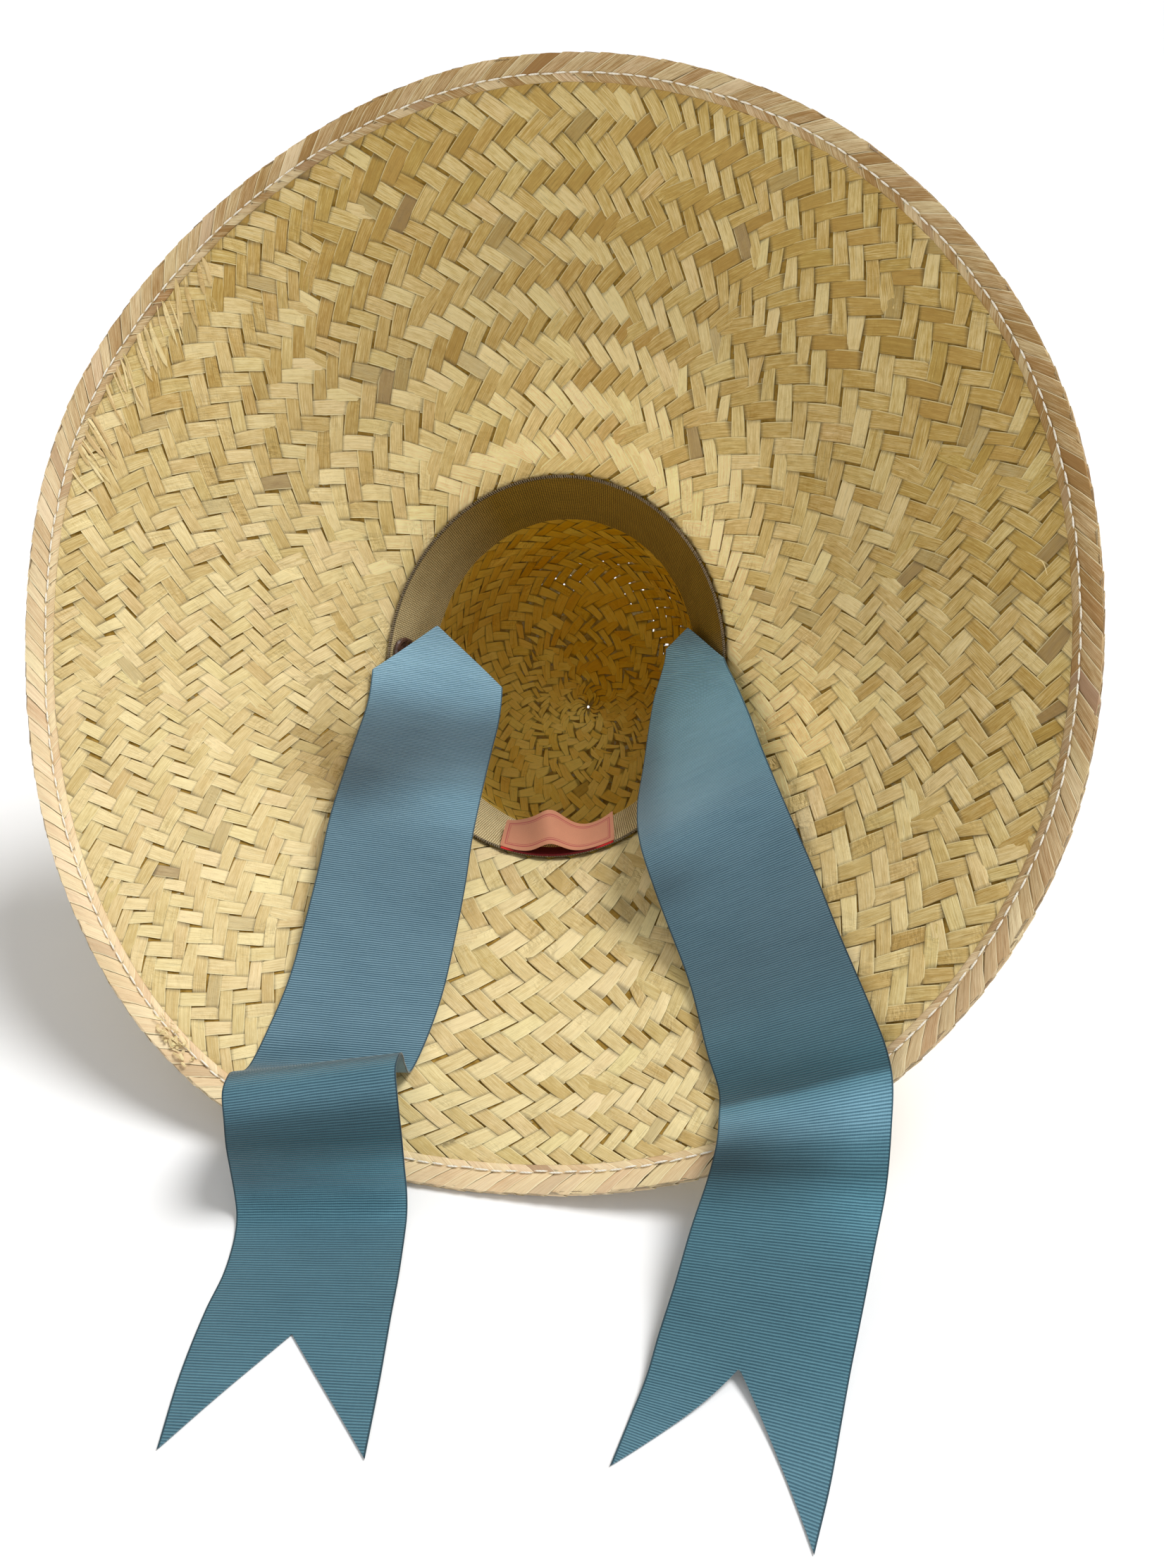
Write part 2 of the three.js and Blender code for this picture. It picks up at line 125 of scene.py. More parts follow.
RIGHT_TIE = {
    "rows": (
        (62, 150, 120, 86, 94, 140), (66, 142, 107, 89, 89, 127), (59, 118, 90, 93, 73, 122),
        (52, 72, 78, 97.5, 52, 116), (48, 42, 75, 100.5, 37, 110.5), (48, 12, 75, 105, 17, 103.5),
        (53, -8, 67, 111, -1, 93.5), (58, -22, 59, 116, -19, 86), (66, -46, 47.5, 122, -49, 76.5),
        (71, -78, 39, 129, -83, 67), (74, -93, 35, 131.5, -100, 62.9), (73, -104, 34, 132, -110, 58.2),
        (71, -116, 33, 130.5, -122, 46), (67, -128, 29, 127, -137, 34), (60, -144, 22, 121, -153, 23),
        (54, -159, 14, 115, -169, 12), (48, -173, 7, 108.5, -186, 5),
        (43.5, -185, 2.6, 103.5, -200, 1.8), (38, -197, 0.6, 97, -218, 0.4),
        (31.5, -212, 0.4, 89, -237, 0.4),
    ),
    "point": 13.0,
    "notch": 44.0,
    "notch_at": 0.45,
    "bands": (
        (0, 0.45), (8, 0.55), (16, 0.90), (24, 1.0), (40, 0.95), (56, 0.90), (69, 0.80), (88, 0.66),
        (104, 0.57), (120, 0.49), (128, 0.44), (138, 0.39), (148, 0.355), (165, 0.315), (189, 0.28),
        (208, 0.275), (220, 0.30), (232, 0.25), (243, 0.165), (249, 0.17), (251.5, 0.45), (257, 0.58),
        (264, 0.42), (271, 0.20), (279, 0.125), (288, 0.25), (296, 0.31), (312, 0.29), (336, 0.29),
        (352, 0.33), (374, 0.39),
    ),
    "reds": (
        (0, 0.95), (20, 0.90), (104, 0.90), (120, 1.0), (190, 0.96), (215, 0.87), (232, 0.77),
        (243, 0.62), (249, 0.66), (254, 0.90), (265, 0.90), (272, 0.70), (280, 0.61), (290, 0.70),
        (336, 0.72), (374, 0.82),
    ),
    "painted_fold_spots": (
        (2, 80, 12, 44, -0.55), (4, 146, 17, 11, -0.32), (6, 277, 17, 14, -0.35),
        (59, 278, 21, 17, 1.0), (60, 241, 18, 8, 0.35), (64, 322, 24, 46, 0.20),
    ),
}


# ---------- camera and floor ----------
CAMERA_PLACE = (22.75, -406.11, 361.9)
CAMERA_PITCH = math.radians(58.77)
CAMERA_LENS = 27.18
SENSOR_LENGTH = 36.0
# In metres: where the floor starts to rise, where it ends, its height there, and its drop below the hat.
FLOOR_FLAT = 5
FLOOR_REACH = 15
FLOOR_RISE = 3.6
FLOOR_DROP = 0.0004
FLOOR_SIDES = 64


# ---------- shapes ----------
def unit(vectors):
    """Vectors divided by their lengths."""
    return vectors / np.maximum(np.linalg.norm(vectors, axis=-1, keepdims=True), 1e-9)


def facing_in(points, normal):
    """Normals turned to face the hat's axis."""
    return -normal * np.sign((normal[..., :2] * points[..., :2]).sum(-1))[..., None]


def closed_curve(values, angle):
    """Catmull-Rom spline through values spaced evenly round a circle."""
    count = len(values)
    place = (angle / FULL_TURN * count) % count
    index = np.floor(place).astype(int)
    f = place - index
    v = np.asarray(values, float)
    a, b, c, d = (v[(index + step) % count] for step in (-1, 0, 1, 2))
    return b + 0.5 * f * (c - a + f * (2 * a - 5 * b + 4 * c - d + f * (3 * (b - c) + d - a)))


def opening_radius(angle):
    """Radius of an ellipse in a given direction."""
    return 1 / np.hypot(np.cos(angle) / OPENING_HALF_X, np.sin(angle) / OPENING_HALF_Y)


def brim(angle, share):
    """Cone with a bowed side: radius and height grow from the opening (share 0) to the rim (share 1)."""
    inner = opening_radius(angle)
    radius = inner + (closed_curve(RIM_RADII, angle) - inner) * share
    sag = BRIM_SAG * np.maximum(0, -np.sin(angle)) ** 2
    wave = RIM_WAVE * share**2 * np.sin(RIM_WAVES * angle)
    rise = (BRIM_RISE - sag) * (share + BRIM_BOW * np.sin(np.pi * share)) + wave
    return np.stack([radius * np.cos(angle), radius * np.sin(angle), rise], -1)


def crown_table():
    """Share and height of the crown's profile at even steps of its length, from the opening to the top."""
    rows = np.array(CROWN_PROFILE)
    steps = np.linspace(0, len(rows) - 1, 400)
    index = np.minimum(steps.astype(int), len(rows) - 2)
    f = (steps - index)[:, None]
    a, b, c, d = (rows[np.clip(index + s, 0, len(rows) - 1)] for s in (-1, 0, 1, 2))
    curve = b + 0.5 * f * (c - a + f * (2 * a - 5 * b + 4 * c - d + f * (3 * (b - c) + d - a)))
    curve = np.vstack([curve, [0, -CROWN_DEPTH]])
    mean = (OPENING_HALF_X + OPENING_HALF_Y) / 2
    steps = np.hypot(np.diff(curve[:, 0]) * mean, np.diff(curve[:, 1]))
    length = np.concatenate([[0], np.cumsum(steps)])
    even = np.linspace(0, length[-1], 400)
    return np.interp(even, length, curve[:, 0]), np.interp(even, length, curve[:, 1])


CROWN_SHARE, CROWN_HEIGHT = crown_table()


def crown(angle, fraction):
    """The opening's ellipse, scaled and lowered along the crown's profile (fraction 0 to 1 of its length)."""
    place = np.clip(fraction, 0, 1) * (len(CROWN_SHARE) - 1)
    steps = np.arange(len(CROWN_SHARE))
    radius = opening_radius(angle) * np.interp(place, steps, CROWN_SHARE)
    height = np.interp(place, steps, CROWN_HEIGHT)
    return np.stack([radius * np.cos(angle), radius * np.sin(angle), height], -1)


BEND_ROUNDING = 0.03


def hat_surface(angle, m):
    """Middle surface of the straw: m is -1 at the top of the crown, 0 at the bend and 1 at the rim."""

    def sharp(at):
        on_brim = brim(angle, np.maximum(at, 0))
        on_crown = crown(angle, -np.minimum(at, 0))
        return np.where((at >= 0)[..., None], on_brim, on_crown)

    blur = (sharp(m - BEND_ROUNDING) + 2 * sharp(m) + sharp(m + BEND_ROUNDING)) / 4
    near = np.exp(-((m / BEND_ROUNDING) ** 2))[..., None]
    return sharp(m) * (1 - near) + blur * near


def surface_frame(surface, a, b, step_a=0.004, step_b=0.006):
    """Points of a surface and its unit normals, by central differences."""
    points = surface(a, b)
    along_a = surface(a + step_a, b) - surface(a - step_a, b)
    along_b = surface(a, b + step_b) - surface(a, b - step_b)
    return points, unit(np.cross(along_b, along_a))


def turn_matrix():
    """Turn about x by the tilt, after a turn about y by the lean."""
    cx, sx, cy, sy = math.cos(TILT), math.sin(TILT), math.cos(LEAN), math.sin(LEAN)
    about_x = np.array([[1, 0, 0], [0, cx, -sx], [0, sx, cx]])
    about_y = np.array([[cy, 0, sy], [0, 1, 0], [-sy, 0, cy]])
    return about_x @ about_y


HAT_TURN = turn_matrix()


def hat_to_row(points):
    """From the hat's own frame in millimetres to the row frame in metres."""
    return (points @ HAT_TURN.T + HAT_PLACE + CENTRE_SHIFT) * MM


def spline(points, place):
    """Centripetal Catmull-Rom curve through points, at places from 0 to 1 counted evenly by point."""
    p = np.asarray(points, float)
    p = np.vstack([2 * p[0] - p[1], p, 2 * p[-1] - p[-2]])
    along = np.clip(place, 0, 1) * (len(points) - 1)
    k = np.minimum(along.astype(int), len(points) - 2)
    f = (along - k)[:, None]
    p0, p1, p2, p3 = p[k], p[k + 1], p[k + 2], p[k + 3]
    d0, d1, d2 = (np.maximum(np.linalg.norm(b - a, axis=1) ** 0.5, 1e-4)[:, None]
                  for a, b in ((p0, p1), (p1, p2), (p2, p3)))
    t1 = ((p1 - p0) / d0 - (p2 - p0) / (d0 + d1) + (p2 - p1) / d1) * d1
    t2 = ((p2 - p1) / d1 - (p3 - p1) / (d1 + d2) + (p3 - p2) / d2) * d1
    c2 = -3 * p1 + 3 * p2 - 2 * t1 - t2
    c3 = 2 * p1 - 2 * p2 + t1 + t2
    return p1 + t1 * f + c2 * f**2 + c3 * f**3


# ---------- meshes ----------
def make_mesh(name, points, loops, sizes, smooth_deg=40, attributes=None):
    """A mesh object from point coordinates in metres, a flat list of corners and each face's corner count."""
    mesh = bpy.data.meshes.new(name)
    mesh.vertices.add(len(points))
    mesh.vertices.foreach_set("co", np.ascontiguousarray(points, np.float32).ravel())
    mesh.loops.add(len(loops))
    mesh.loops.foreach_set("vertex_index", np.ascontiguousarray(loops, np.int32))
    mesh.polygons.add(len(sizes))
    starts = np.concatenate([[0], np.cumsum(sizes)[:-1]])
    mesh.polygons.foreach_set("loop_start", starts.astype(np.int32))
    mesh.polygons.foreach_set("use_smooth", np.ones(len(sizes), bool))
    for label, values in (attributes or {}).items():
        kind = "FLOAT_COLOR" if values.shape[-1] == 4 else "FLOAT_VECTOR"
        field = "color" if kind == "FLOAT_COLOR" else "vector"
        attribute = mesh.attributes.new(label, kind, "POINT")
        attribute.data.foreach_set(field, np.ascontiguousarray(values, np.float32).ravel())
    mesh.update(calc_edges=True)
    mesh.validate()
    mesh.set_sharp_from_angle(angle=math.radians(smooth_deg))
    thing = bpy.data.objects.new(name, mesh)
    bpy.context.scene.collection.objects.link(thing)
    return thing


def sweep_faces(copies, steps, loop, closed_path=False, flip=False):
    """Corners and counts for copies of a closed section of loop points swept over steps + 1 stations."""
    stations = steps if closed_path else steps + 1
    first = np.arange(copies)[:, None, None] * stations * loop
    j = np.arange(steps)[None, :, None]
    i = np.arange(loop)[None, None, :]
    nxt = (i + 1) % loop
    up = (j + 1) % stations
    quads = np.stack([first + j * loop + i, first + j * loop + nxt, first + up * loop + nxt,
                      first + up * loop + i], -1).reshape(-1, 4)
    if flip:
        quads = quads[:, ::-1]
    loops = [quads.ravel()]
    sizes = [np.full(len(quads), 4)]
    if not closed_path:
        ring = np.arange(loop)
        base = np.arange(copies)[:, None] * stations * loop
        start = base + ring[::-1]
        end = base + steps * loop + ring
        if flip:
            start, end = start[:, ::-1], end[:, ::-1]
        loops += [start.ravel(), end.ravel()]
        sizes.append(np.full(2 * copies, loop))
    return np.concatenate(loops), np.concatenate(sizes)


def finish_piece(thing, slot, material, *nodes):
    """Gives a piece its material and its body, and hides the construction nodes it stands for. The slot is not
    used.
    """
    thing.data.materials.append(material)
    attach(thing, "root")
    if nodes:
        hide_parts(*nodes)
    return thing


# ---------- shader maths ----------
class Value:
    """A shader socket. Arithmetic on it adds Math nodes."""

    def __init__(self, shader, socket):
        self.shader = shader
        self.socket = socket

    def math(self, operation, *values):
        return self.shader.node("ShaderNodeMath", {"operation": operation}, *values)

    def __add__(self, other):
        return self.math("ADD", self, other)

    def __sub__(self, other):
        return self.math("SUBTRACT", self, other)

    def __rsub__(self, other):
        return self.math("SUBTRACT", other, self)

    def __mul__(self, other):
        return self.math("MULTIPLY", self, other)

    def __truediv__(self, other):
        return self.math("DIVIDE", self, other)

    def __pow__(self, other):
        return self.math("POWER", self, other)

    def __rpow__(self, other):
        return self.math("POWER", other, self)

    __radd__ = __add__
    __rmul__ = __mul__

    def sin(self):
        return self.math("SINE", self)

    def abs(self):
        return self.math("ABSOLUTE", self)

    def ramp(self, low, high, out_low=0.0, out_high=1.0):
        """Linear from low to high, held beyond them."""
        return self.shader.node("ShaderNodeMapRange", {"clamp": True}, self, low, high, out_low, out_high)


class Shader:
    """A material's node tree."""

    def __init__(self, name):
        self.material = bpy.data.materials.new(name)
        self.material.use_nodes = True
        self.tree = self.material.node_tree
        self.tree.nodes.clear()

    def node(self, kind, settings=None, *values, output=0, **named):
        """Adds a node: its settings first, then the values or links of its sockets."""
        made = self.tree.nodes.new(kind)
        for key, value in (settings or {}).items():
            if key == "stops":
                self._stops(made.color_ramp, value)
            else:
                setattr(made, key, value)
        sockets = [s for s in made.inputs if s.enabled]
        for socket, value in zip(sockets, values):
            self._feed(socket, value)
        for key, value in named.items():
            wanted = key.replace("_", " ").lower()
            socket = next(s for s in sockets if s.name.lower() == wanted)
            self._feed(socket, value)
        outputs = [s for s in made.outputs if s.enabled]
        return Value(self, outputs[output])

    def _feed(self, socket, value):
        if value is None:
            return
        if isinstance(value, Value):
            self.tree.links.new(value.socket, socket)
        else:
            socket.default_value = value

    @staticmethod
    def _stops(ramp, stops):
        while len(ramp.elements) > 1:
            ramp.elements.remove(ramp.elements[-1])
        for k, (position, colour) in enumerate(stops):
            element = ramp.elements[0] if k == 0 else ramp.elements.new(position)
            element.position = position
            element.color = (*colour, 1)

    def attribute(self, name, output=1):
        return self.node("ShaderNodeAttribute", {"attribute_name": name}, output=output)

    def parts(self, vector):
        """The three numbers of a vector."""
        made = self.tree.nodes.new("ShaderNodeSeparateXYZ")
        self.tree.links.new(vector.socket, made.inputs[0])
        return [Value(self, s) for s in made.outputs]

    def vector(self, x, y, z=0.0):
        return self.node("ShaderNodeCombineXYZ", None, x, y, z)

    def noise(self, vector, scale=1.0, detail=2.0, roughness=0.5, distortion=0.0):
        return self.node("ShaderNodeTexNoise", None, Vector=vector, Scale=scale, Detail=detail,
                         Roughness=roughness, Distortion=distortion)

    def colours(self, value, stops):
        return self.node("ShaderNodeValToRGB", {"stops": stops}, value)

    def mix(self, factor, a, b, blend="MIX"):
        """Mixes two colours."""
        return self.node("ShaderNodeMix", {"data_type": "RGBA", "blend_type": blend}, factor,
                         self._colour(a), self._colour(b))

    @staticmethod
    def _colour(value):
        return value if isinstance(value, Value) or value is None else (*value, 1)

    def shade(self, colour, factor):
        """A colour times a number."""
        grey = self.node("ShaderNodeCombineColor", None, factor, factor, factor)
        return self.mix(1.0, colour, grey, "MULTIPLY")

    def bump(self, height, strength=1.0, distance=MM, normal=None):
        return self.node("ShaderNodeBump", None, Strength=strength, Distance=distance, Height=height,
                         Normal=normal)

    def surface(self, colour, roughness, normal=None, **constants):
        """Principled surface and output. Constants are set on its own sockets."""
        made = self.tree.nodes.new("ShaderNodeBsdfPrincipled")
        self._feed(made.inputs["Base Color"], self._colour(colour))
        self._feed(made.inputs["Roughness"], roughness)
        if normal is not None:
            self._feed(made.inputs["Normal"], normal)
        for key, value in constants.items():
            made.inputs[key.replace("_", " ")].default_value = value
        out = self.tree.nodes.new("ShaderNodeOutputMaterial")
        self.tree.links.new(made.outputs[0], out.inputs[0])
        return self.material


# ---------- the weave ----------
CROWN_ROWS = 23
BRIM_ROWS = 17
CROWN_ARC = 170.0
CROWN_TEETH = (12, 16, 21, 26, 32, 38, 43, 47, 51, 54, 56, 57, 58, 58, 59, 59, 60, 60, 61, 61, 62, 62, 63, 63)
# Distance of the crown's rings from its top, in millimetres along the surface.
CROWN_RINGS = (5, 10, 15, 20, 25.5, 31, 37, 43, 50, 57.5, 65.5, 74, 82, 90, 98, 106, 114, 122, 130, 138,
               146, 154, 162, 170)
BRIM_TEETH_STEP = 6.05
# The weave grows less regular towards the top of the crown, within this many rings of it.
LOOSE_RINGS = 12


def ring_count(ring):
    """Teeth of a ring, counted from the top of the crown (0) over the bend (CROWN_ROWS) to the rim."""
    if ring <= CROWN_ROWS:
        return CROWN_TEETH[ring]
    return CROWN_TEETH[-1] + int(round(BRIM_TEETH_STEP * (ring - CROWN_ROWS)))


def even_angles(count, uneven):
    """Angles that share out a circle at a density of 1 - uneven * sin(angle)."""
    fine = np.linspace(-FULL_TURN, 2 * FULL_TURN, 6001)
    amount = fine + uneven * np.cos(fine)
    return np.interp(np.arange(count) / count * FULL_TURN, amount, fine)


def smooth_round(values, width):
    """Moving Gaussian mean of values round a circle."""
    reach = int(3 * width)
    kernel = np.exp(-0.5 * (np.arange(-reach, reach + 1) / width) ** 2)
    padded = np.concatenate([values[-reach:], values, values[:reach]])
    return np.convolve(padded, kernel / kernel.sum(), "valid")


def lay_rings(seed=4):
    """Angles of every ring's teeth. Each ring repeats the one inside it, shifted one tooth left or right in
    turn, with new teeth let in at scattered places, and neighbours make room for them little by little."""
    rng = np.random.default_rng(seed)
    n = ring_count(0)
    starts = even_angles(n, 0.0)
    rings = []
    source = new = None
    for ring in range(0, CROWN_ROWS + BRIM_ROWS + 2):
        if ring:
            grow = ring_count(ring) - n
            places = (np.arange(grow) + rng.uniform(0.15, 0.85, grow)) / max(grow, 1) + rng.uniform()
            added = np.unique((places % 1 * n).astype(int))
            source = np.sort(np.concatenate([np.arange(n), added]))
            new = np.zeros(len(source), bool)
            new[1:] = source[1:] == source[:-1]
            twin = np.roll(new, -1)
            way = 1 if ring % 2 else -1
            widths = np.diff(np.append(starts, starts[0] + FULL_TURN))
            wanted = starts[source] + way * widths[source] + (new * 0.62 + twin * -0.02) * widths[source]
            uneven = 0.085 * max(0, ring - CROWN_ROWS) / BRIM_ROWS
            even = even_angles(len(source), uneven)
            turn = np.angle(np.exp(1j * (wanted - even)).mean())
            even = even + turn
            off = wanted - even
            off = off - FULL_TURN * np.round(off.mean() / FULL_TURN)
            soft = smooth_round(off, 2.6)
            noise = rng.normal(0, 0.05, len(source)) * widths.mean()
            starts = even + (0.55 * soft + 0.45 * off) * 0.94 + noise
            n = len(source)
        widths = np.diff(np.append(starts, starts[0] + FULL_TURN))
        rings.append((starts, widths, source, new))
    return rings


RINGS = lay_rings()


def ring_angle(ring, index, valley):
    """Angle of a tooth's peak or valley, with indices past the end going round again."""
    starts, widths, _, _ = RINGS[ring]
    n = len(starts)
    k = index % n
    return starts[k] + valley * 0.5 * widths[k] + FULL_TURN * np.floor(index / n)


def row_to_m(angle, row):
    """Place on the hat of a row coordinate: the crown's rings, then brim steps that narrow to the rim."""
    arc = np.interp(row, np.arange(CROWN_ROWS + 1), CROWN_RINGS) + 5.0 * np.minimum(row, 0)
    out = np.maximum(row - CROWN_ROWS, 0) / BRIM_ROWS
    push = 0.015 + 0.07 * np.maximum(0, -np.sin(angle)) ** 2
    brim_share = np.minimum(out + push * np.sin(np.pi * np.clip(out, 0, 1)), 0.985)
    crown_share = np.maximum(arc, 0.9) / CROWN_ARC - 1
    sway = 0.0022 * np.sin(3 * angle + row * 0.7) + 0.0018 * np.sin(7 * angle + 1.3 * row)
    sway = sway * np.clip(row / 6, 0, 1)
    return np.where(row >= CROWN_ROWS, brim_share, crown_share) + sway


def family_tiles(family, first_ring, last_ring, rows_even, seed):
    """Corners of one family's strips, as angles and rows: bottom left, bottom right, top right, top left."""
    rng = np.random.default_rng(seed)
    angles, rows, rings = [], [], []
    for ring in range(first_ring, last_ring):
        if (ring % 2 == 0) != rows_even:
            continue
        _, _, source, new = RINGS[ring + 1]
        k = np.arange(len(source))
        inner_way = 1 if (ring + 1) % 2 else -1
        if family == "P":
            top = k if inner_way == 1 else k + 2
            a = [ring_angle(ring, source, 0), ring_angle(ring, source, 1),
                 ring_angle(ring + 1, top, 1), ring_angle(ring + 1, top, 0)]
            r = [ring, ring - 0.5, ring + 0.5, ring + 1]
            wedge = (0.55, 1.35)
        else:
            top = k if inner_way == -1 else k - 2
            a = [ring_angle(ring, source, 1), ring_angle(ring, source + 1, 0),
                 ring_angle(ring + 1, top + 1, 0), ring_angle(ring + 1, top, 1)]
            r = [ring - 0.5, ring, ring + 1, ring + 0.5]
            wedge = (0.55, 1.2)
        a = np.stack(a, -1)
        r = np.tile(np.array(r, float), (len(k), 1))
        low = a[:, 0] + (a[:, 1] - a[:, 0]) * wedge[0]
        high = a[:, 0] + (a[:, 1] - a[:, 0]) * wedge[1]
        a[:, 0] = np.where(new, low, a[:, 0])
        a[:, 1] = np.where(new, high, a[:, 1])
        angles.append(a)
        rows.append(r)
        rings.append(np.full((len(k), 1), ring))
    angles, rows, rings = np.concatenate(angles), np.concatenate(rows), np.concatenate(rings)
    loose = np.clip(1 - rings / LOOSE_RINGS, 0, 1)
    angles = angles + rng.normal(0, 1, angles.shape) * (0.0012 + 0.045 * loose)
    rows = rows + rng.normal(0, 1, rows.shape) * (0.025 + 0.22 * loose)
    return angles, rows


# Sections of a strip: place across from -1 to 1, height over its bed in shares of its bulge, and how many
# steps it has along. The last two places are the underside.
FACING_STRIP = (
    np.array([-1.0, -0.86, -0.42, 0.0, 0.42, 0.86, 1.0, 0.8, -0.8]),
    np.array([0.2, 0.7, 1.0, 0.85, 1.0, 0.7, 0.2, 0.0, 0.0]),
    6,
)
HIDDEN_STRIP = (
    np.array([-1.0, -0.6, 0.0, 0.6, 1.0, 0.8, -0.8]),
    np.array([0.25, 0.95, 0.85, 0.95, 0.25, 0.0, 0.0]),
    5,
)


def airy(angle, m):
    """Where the weave is open enough for pinholes: the front of the crown's rounding."""
    return (np.abs(np.sin((angle - math.radians(62)) / 2)) < 0.4) & (m > -0.69) & (m < -0.42)


def strip_mesh(name, surface, angles, rows, side, base, rise, thick, seed, family, painted_sheen_contrast, extend, gap,
               section=FACING_STRIP, shingle=0.0):
    """Closed slabs, one for each strip. Each maps a unit square onto its four corners, is longer than its
    cell so that its ends dip below its neighbours, and bulges with a crease, dents, tilt and curled edges."""
    rng = np.random.default_rng(seed)
    count = len(angles)
    v, profile, steps = section
    under = np.arange(len(v)) >= len(v) - 2
    middle, edge_at = int(np.flatnonzero(v == 0)[0]), int(np.flatnonzero(v == 1)[0])
    station = np.linspace(0, 1, steps + 1)
    station = 0.5 - 0.5 * np.cos(np.pi * station)
    centre = angles.mean(1)
    centre_m = row_to_m(centre, rows.mean(1)) if surface is hat_surface else np.full(count, 0.9)
    open_weave = airy(centre, centre_m)
    reach = extend * (1 + rng.uniform(-0.35, 0.35, (count, 2))) * np.where(open_weave, 0.68, 1.0)[:, None]
    u = -reach[:, :1] + station[None, :] * (1 + reach.sum(1, keepdims=True))
    slim = 1 - gap - rng.uniform(0, 0.07, count) - 0.09 * open_weave
    shift = rng.normal(0, 0.03, count)
    taper = rng.normal(0, 0.05, count)
    uu = u[:, :, None] + 0 * v
    across = (v * slim[:, None, None] + shift[:, None, None]) * (1 + taper[:, None, None] * (uu - 0.5))
    across = across + 0.02 * np.sin(5 * uu + rng.uniform(0, 6, count)[:, None, None])
    narrow = 1 - 0.28 * np.clip(np.abs(uu - 0.5) * 2 - 1, 0, 1)
    w = 0.5 + 0.5 * across * narrow

    def blend(corner):
        bl, br, tr, tl = (corner[:, k, None, None] for k in range(4))
        return (bl * (1 - w) + br * w) * (1 - uu) + (tl * (1 - w) + tr * w) * uu

    angle = blend(angles)
    row = blend(rows)
    m = row_to_m(angle, row) if surface is hat_surface else row
    points, normal = surface_frame(surface, angle, m)
    over = np.clip(np.abs(uu - 0.5) * 2, 0, 1.9)
    arch = 1 - np.clip(over, 0, 1.7) ** 2.6 * 0.62
    tilt = (shingle + rng.normal(0, 0.13, count))[:, None, None] * v
    roll = rng.normal(0, 0.12, count)[:, None, None] * (uu - 0.5)
    crease = 1 - rng.uniform(0.0, 0.5, count)[:, None, None] * np.exp(-((v / 0.25) ** 2))
    dent_place = rng.uniform(0.2, 0.8, count)[:, None, None]
    dent = rng.uniform(-0.1, 0.28, count)[:, None, None] * np.exp(-(((uu - dent_place) / 0.16) ** 2))
    curl = rng.uniform(0, 0.3, (count, 2))
    lip = curl[:, :1, None] * (v < -0.9) + curl[:, 1:, None] * (v > 0.9)
    top = profile * crease * (1 - dent) + lip
    lift = rng.normal(0, 0.05, count)[:, None, None]
    height = base + rise * (arch * (0.4 + 0.6 * top) + tilt + roll + lift)
    height = np.where(under, height - rise * 0.45 * top * arch - thick, height)
    height = np.maximum(height, base - 0.75 * rise - thick * under)
    points = hat_to_row(points + side * normal * height[..., None])

    length = np.linalg.norm(points[:, -1, middle] - points[:, 0, middle], axis=-1) / MM
    width = np.linalg.norm(points[:, steps // 2, edge_at] - points[:, steps // 2, 0], axis=-1) / MM
    strip = np.stack([
        (uu * length[:, None, None] * 0.65 + rng.uniform(0, 900, count)[:, None, None]) + 0 * v,
        0.5 * v * width[:, None, None] + rng.uniform(0, 300, count)[:, None, None] + 0 * uu,
        uu + 0 * v,
    ], -1)
    # Painted sheen: the two leaning families of strips are painted lighter and darker in turn round the hat, as
    # their fibres catch the light; the rest of the tone differs at random.
    lean = {"P": 1.0, "Q": -1.0}[family]
    tone = painted_sheen_contrast * lean * np.sin(centre) + rng.normal(0, 0.5, count)
    # Painted light on the crown's wall near the opening, on its lit side.
    lit_side = np.clip(-np.cos(centre - 0.4), 0, 1) * (centre_m < 0)
    tone = tone + 1.6 * np.clip((centre_m + 0.5) / 0.3, 0, 1) * lit_side
    hue = rng.normal(0, 0.5, count)
    brown = rng.uniform(0, 1, count)
    tint = np.stack([0.5 + 0.25 * tone, 0.5 + 0.2 * hue, brown, painted_shade_side(centre, centre_m)], -1)
    tint = np.broadcast_to(tint[:, None, None, :], uu.shape[:2] + (len(v), 4))
    # Painted light on the brim near the opening, most on the shaded side, then painted shadow and light beside
    # the ties.
    painted_light_and_shade = painted_shade_side(centre, -1) * np.clip((0.42 - centre_m) / 0.36, 0, 1) * (centre_m >= 0)
    if side > 0:
        for at, half_angle, at_m, half_m, change in PAINTED_LIGHT_BESIDE_TIES:
            away = (centre - at + math.pi) % FULL_TURN - math.pi
            hill = np.exp(-((away / half_angle) ** 2) - ((centre_m - at_m) / half_m) ** 2)
            painted_light_and_shade = painted_light_and_shade + change * hill * (centre_m >= 0)
    edge = np.stack(np.broadcast_arrays(v, centre_m[:, None, None], painted_light_and_shade[:, None, None] + 0 * uu), -1)
    loops, sizes = sweep_faces(count, steps, len(v), flip=side < 0)
    return make_mesh(
        name, points.reshape(-1, 3), loops, sizes, 50,
        {"strip": strip.reshape(-1, 3), "tint": tint.reshape(-1, 4), "edge": edge.reshape(-1, 3)},
    )


# ---------- straw ----------
# Light and shade painted on the brim beside the ties: angle, half angle, share, half share, change.
PAINTED_LIGHT_BESIDE_TIES = (
    (3.58, 0.20, 0.19, 0.13, -1.15),
    (5.93, 0.26, 0.27, 0.20, 0.90),
)


def painted_shade_side(angle, m):
    """How much painted warm shade the straw gets on its shaded side: a cosine round the hat, deepest at 60
    degrees, and on the brim growing in a straight line from the opening to the rim."""
    side = np.clip(0.5 + 0.6 * np.cos(angle - math.radians(60)), 0, 1)
    return np.clip(side * np.where(m < 0, 1.0, 0.25 + 1.0 * m), 0, 1)


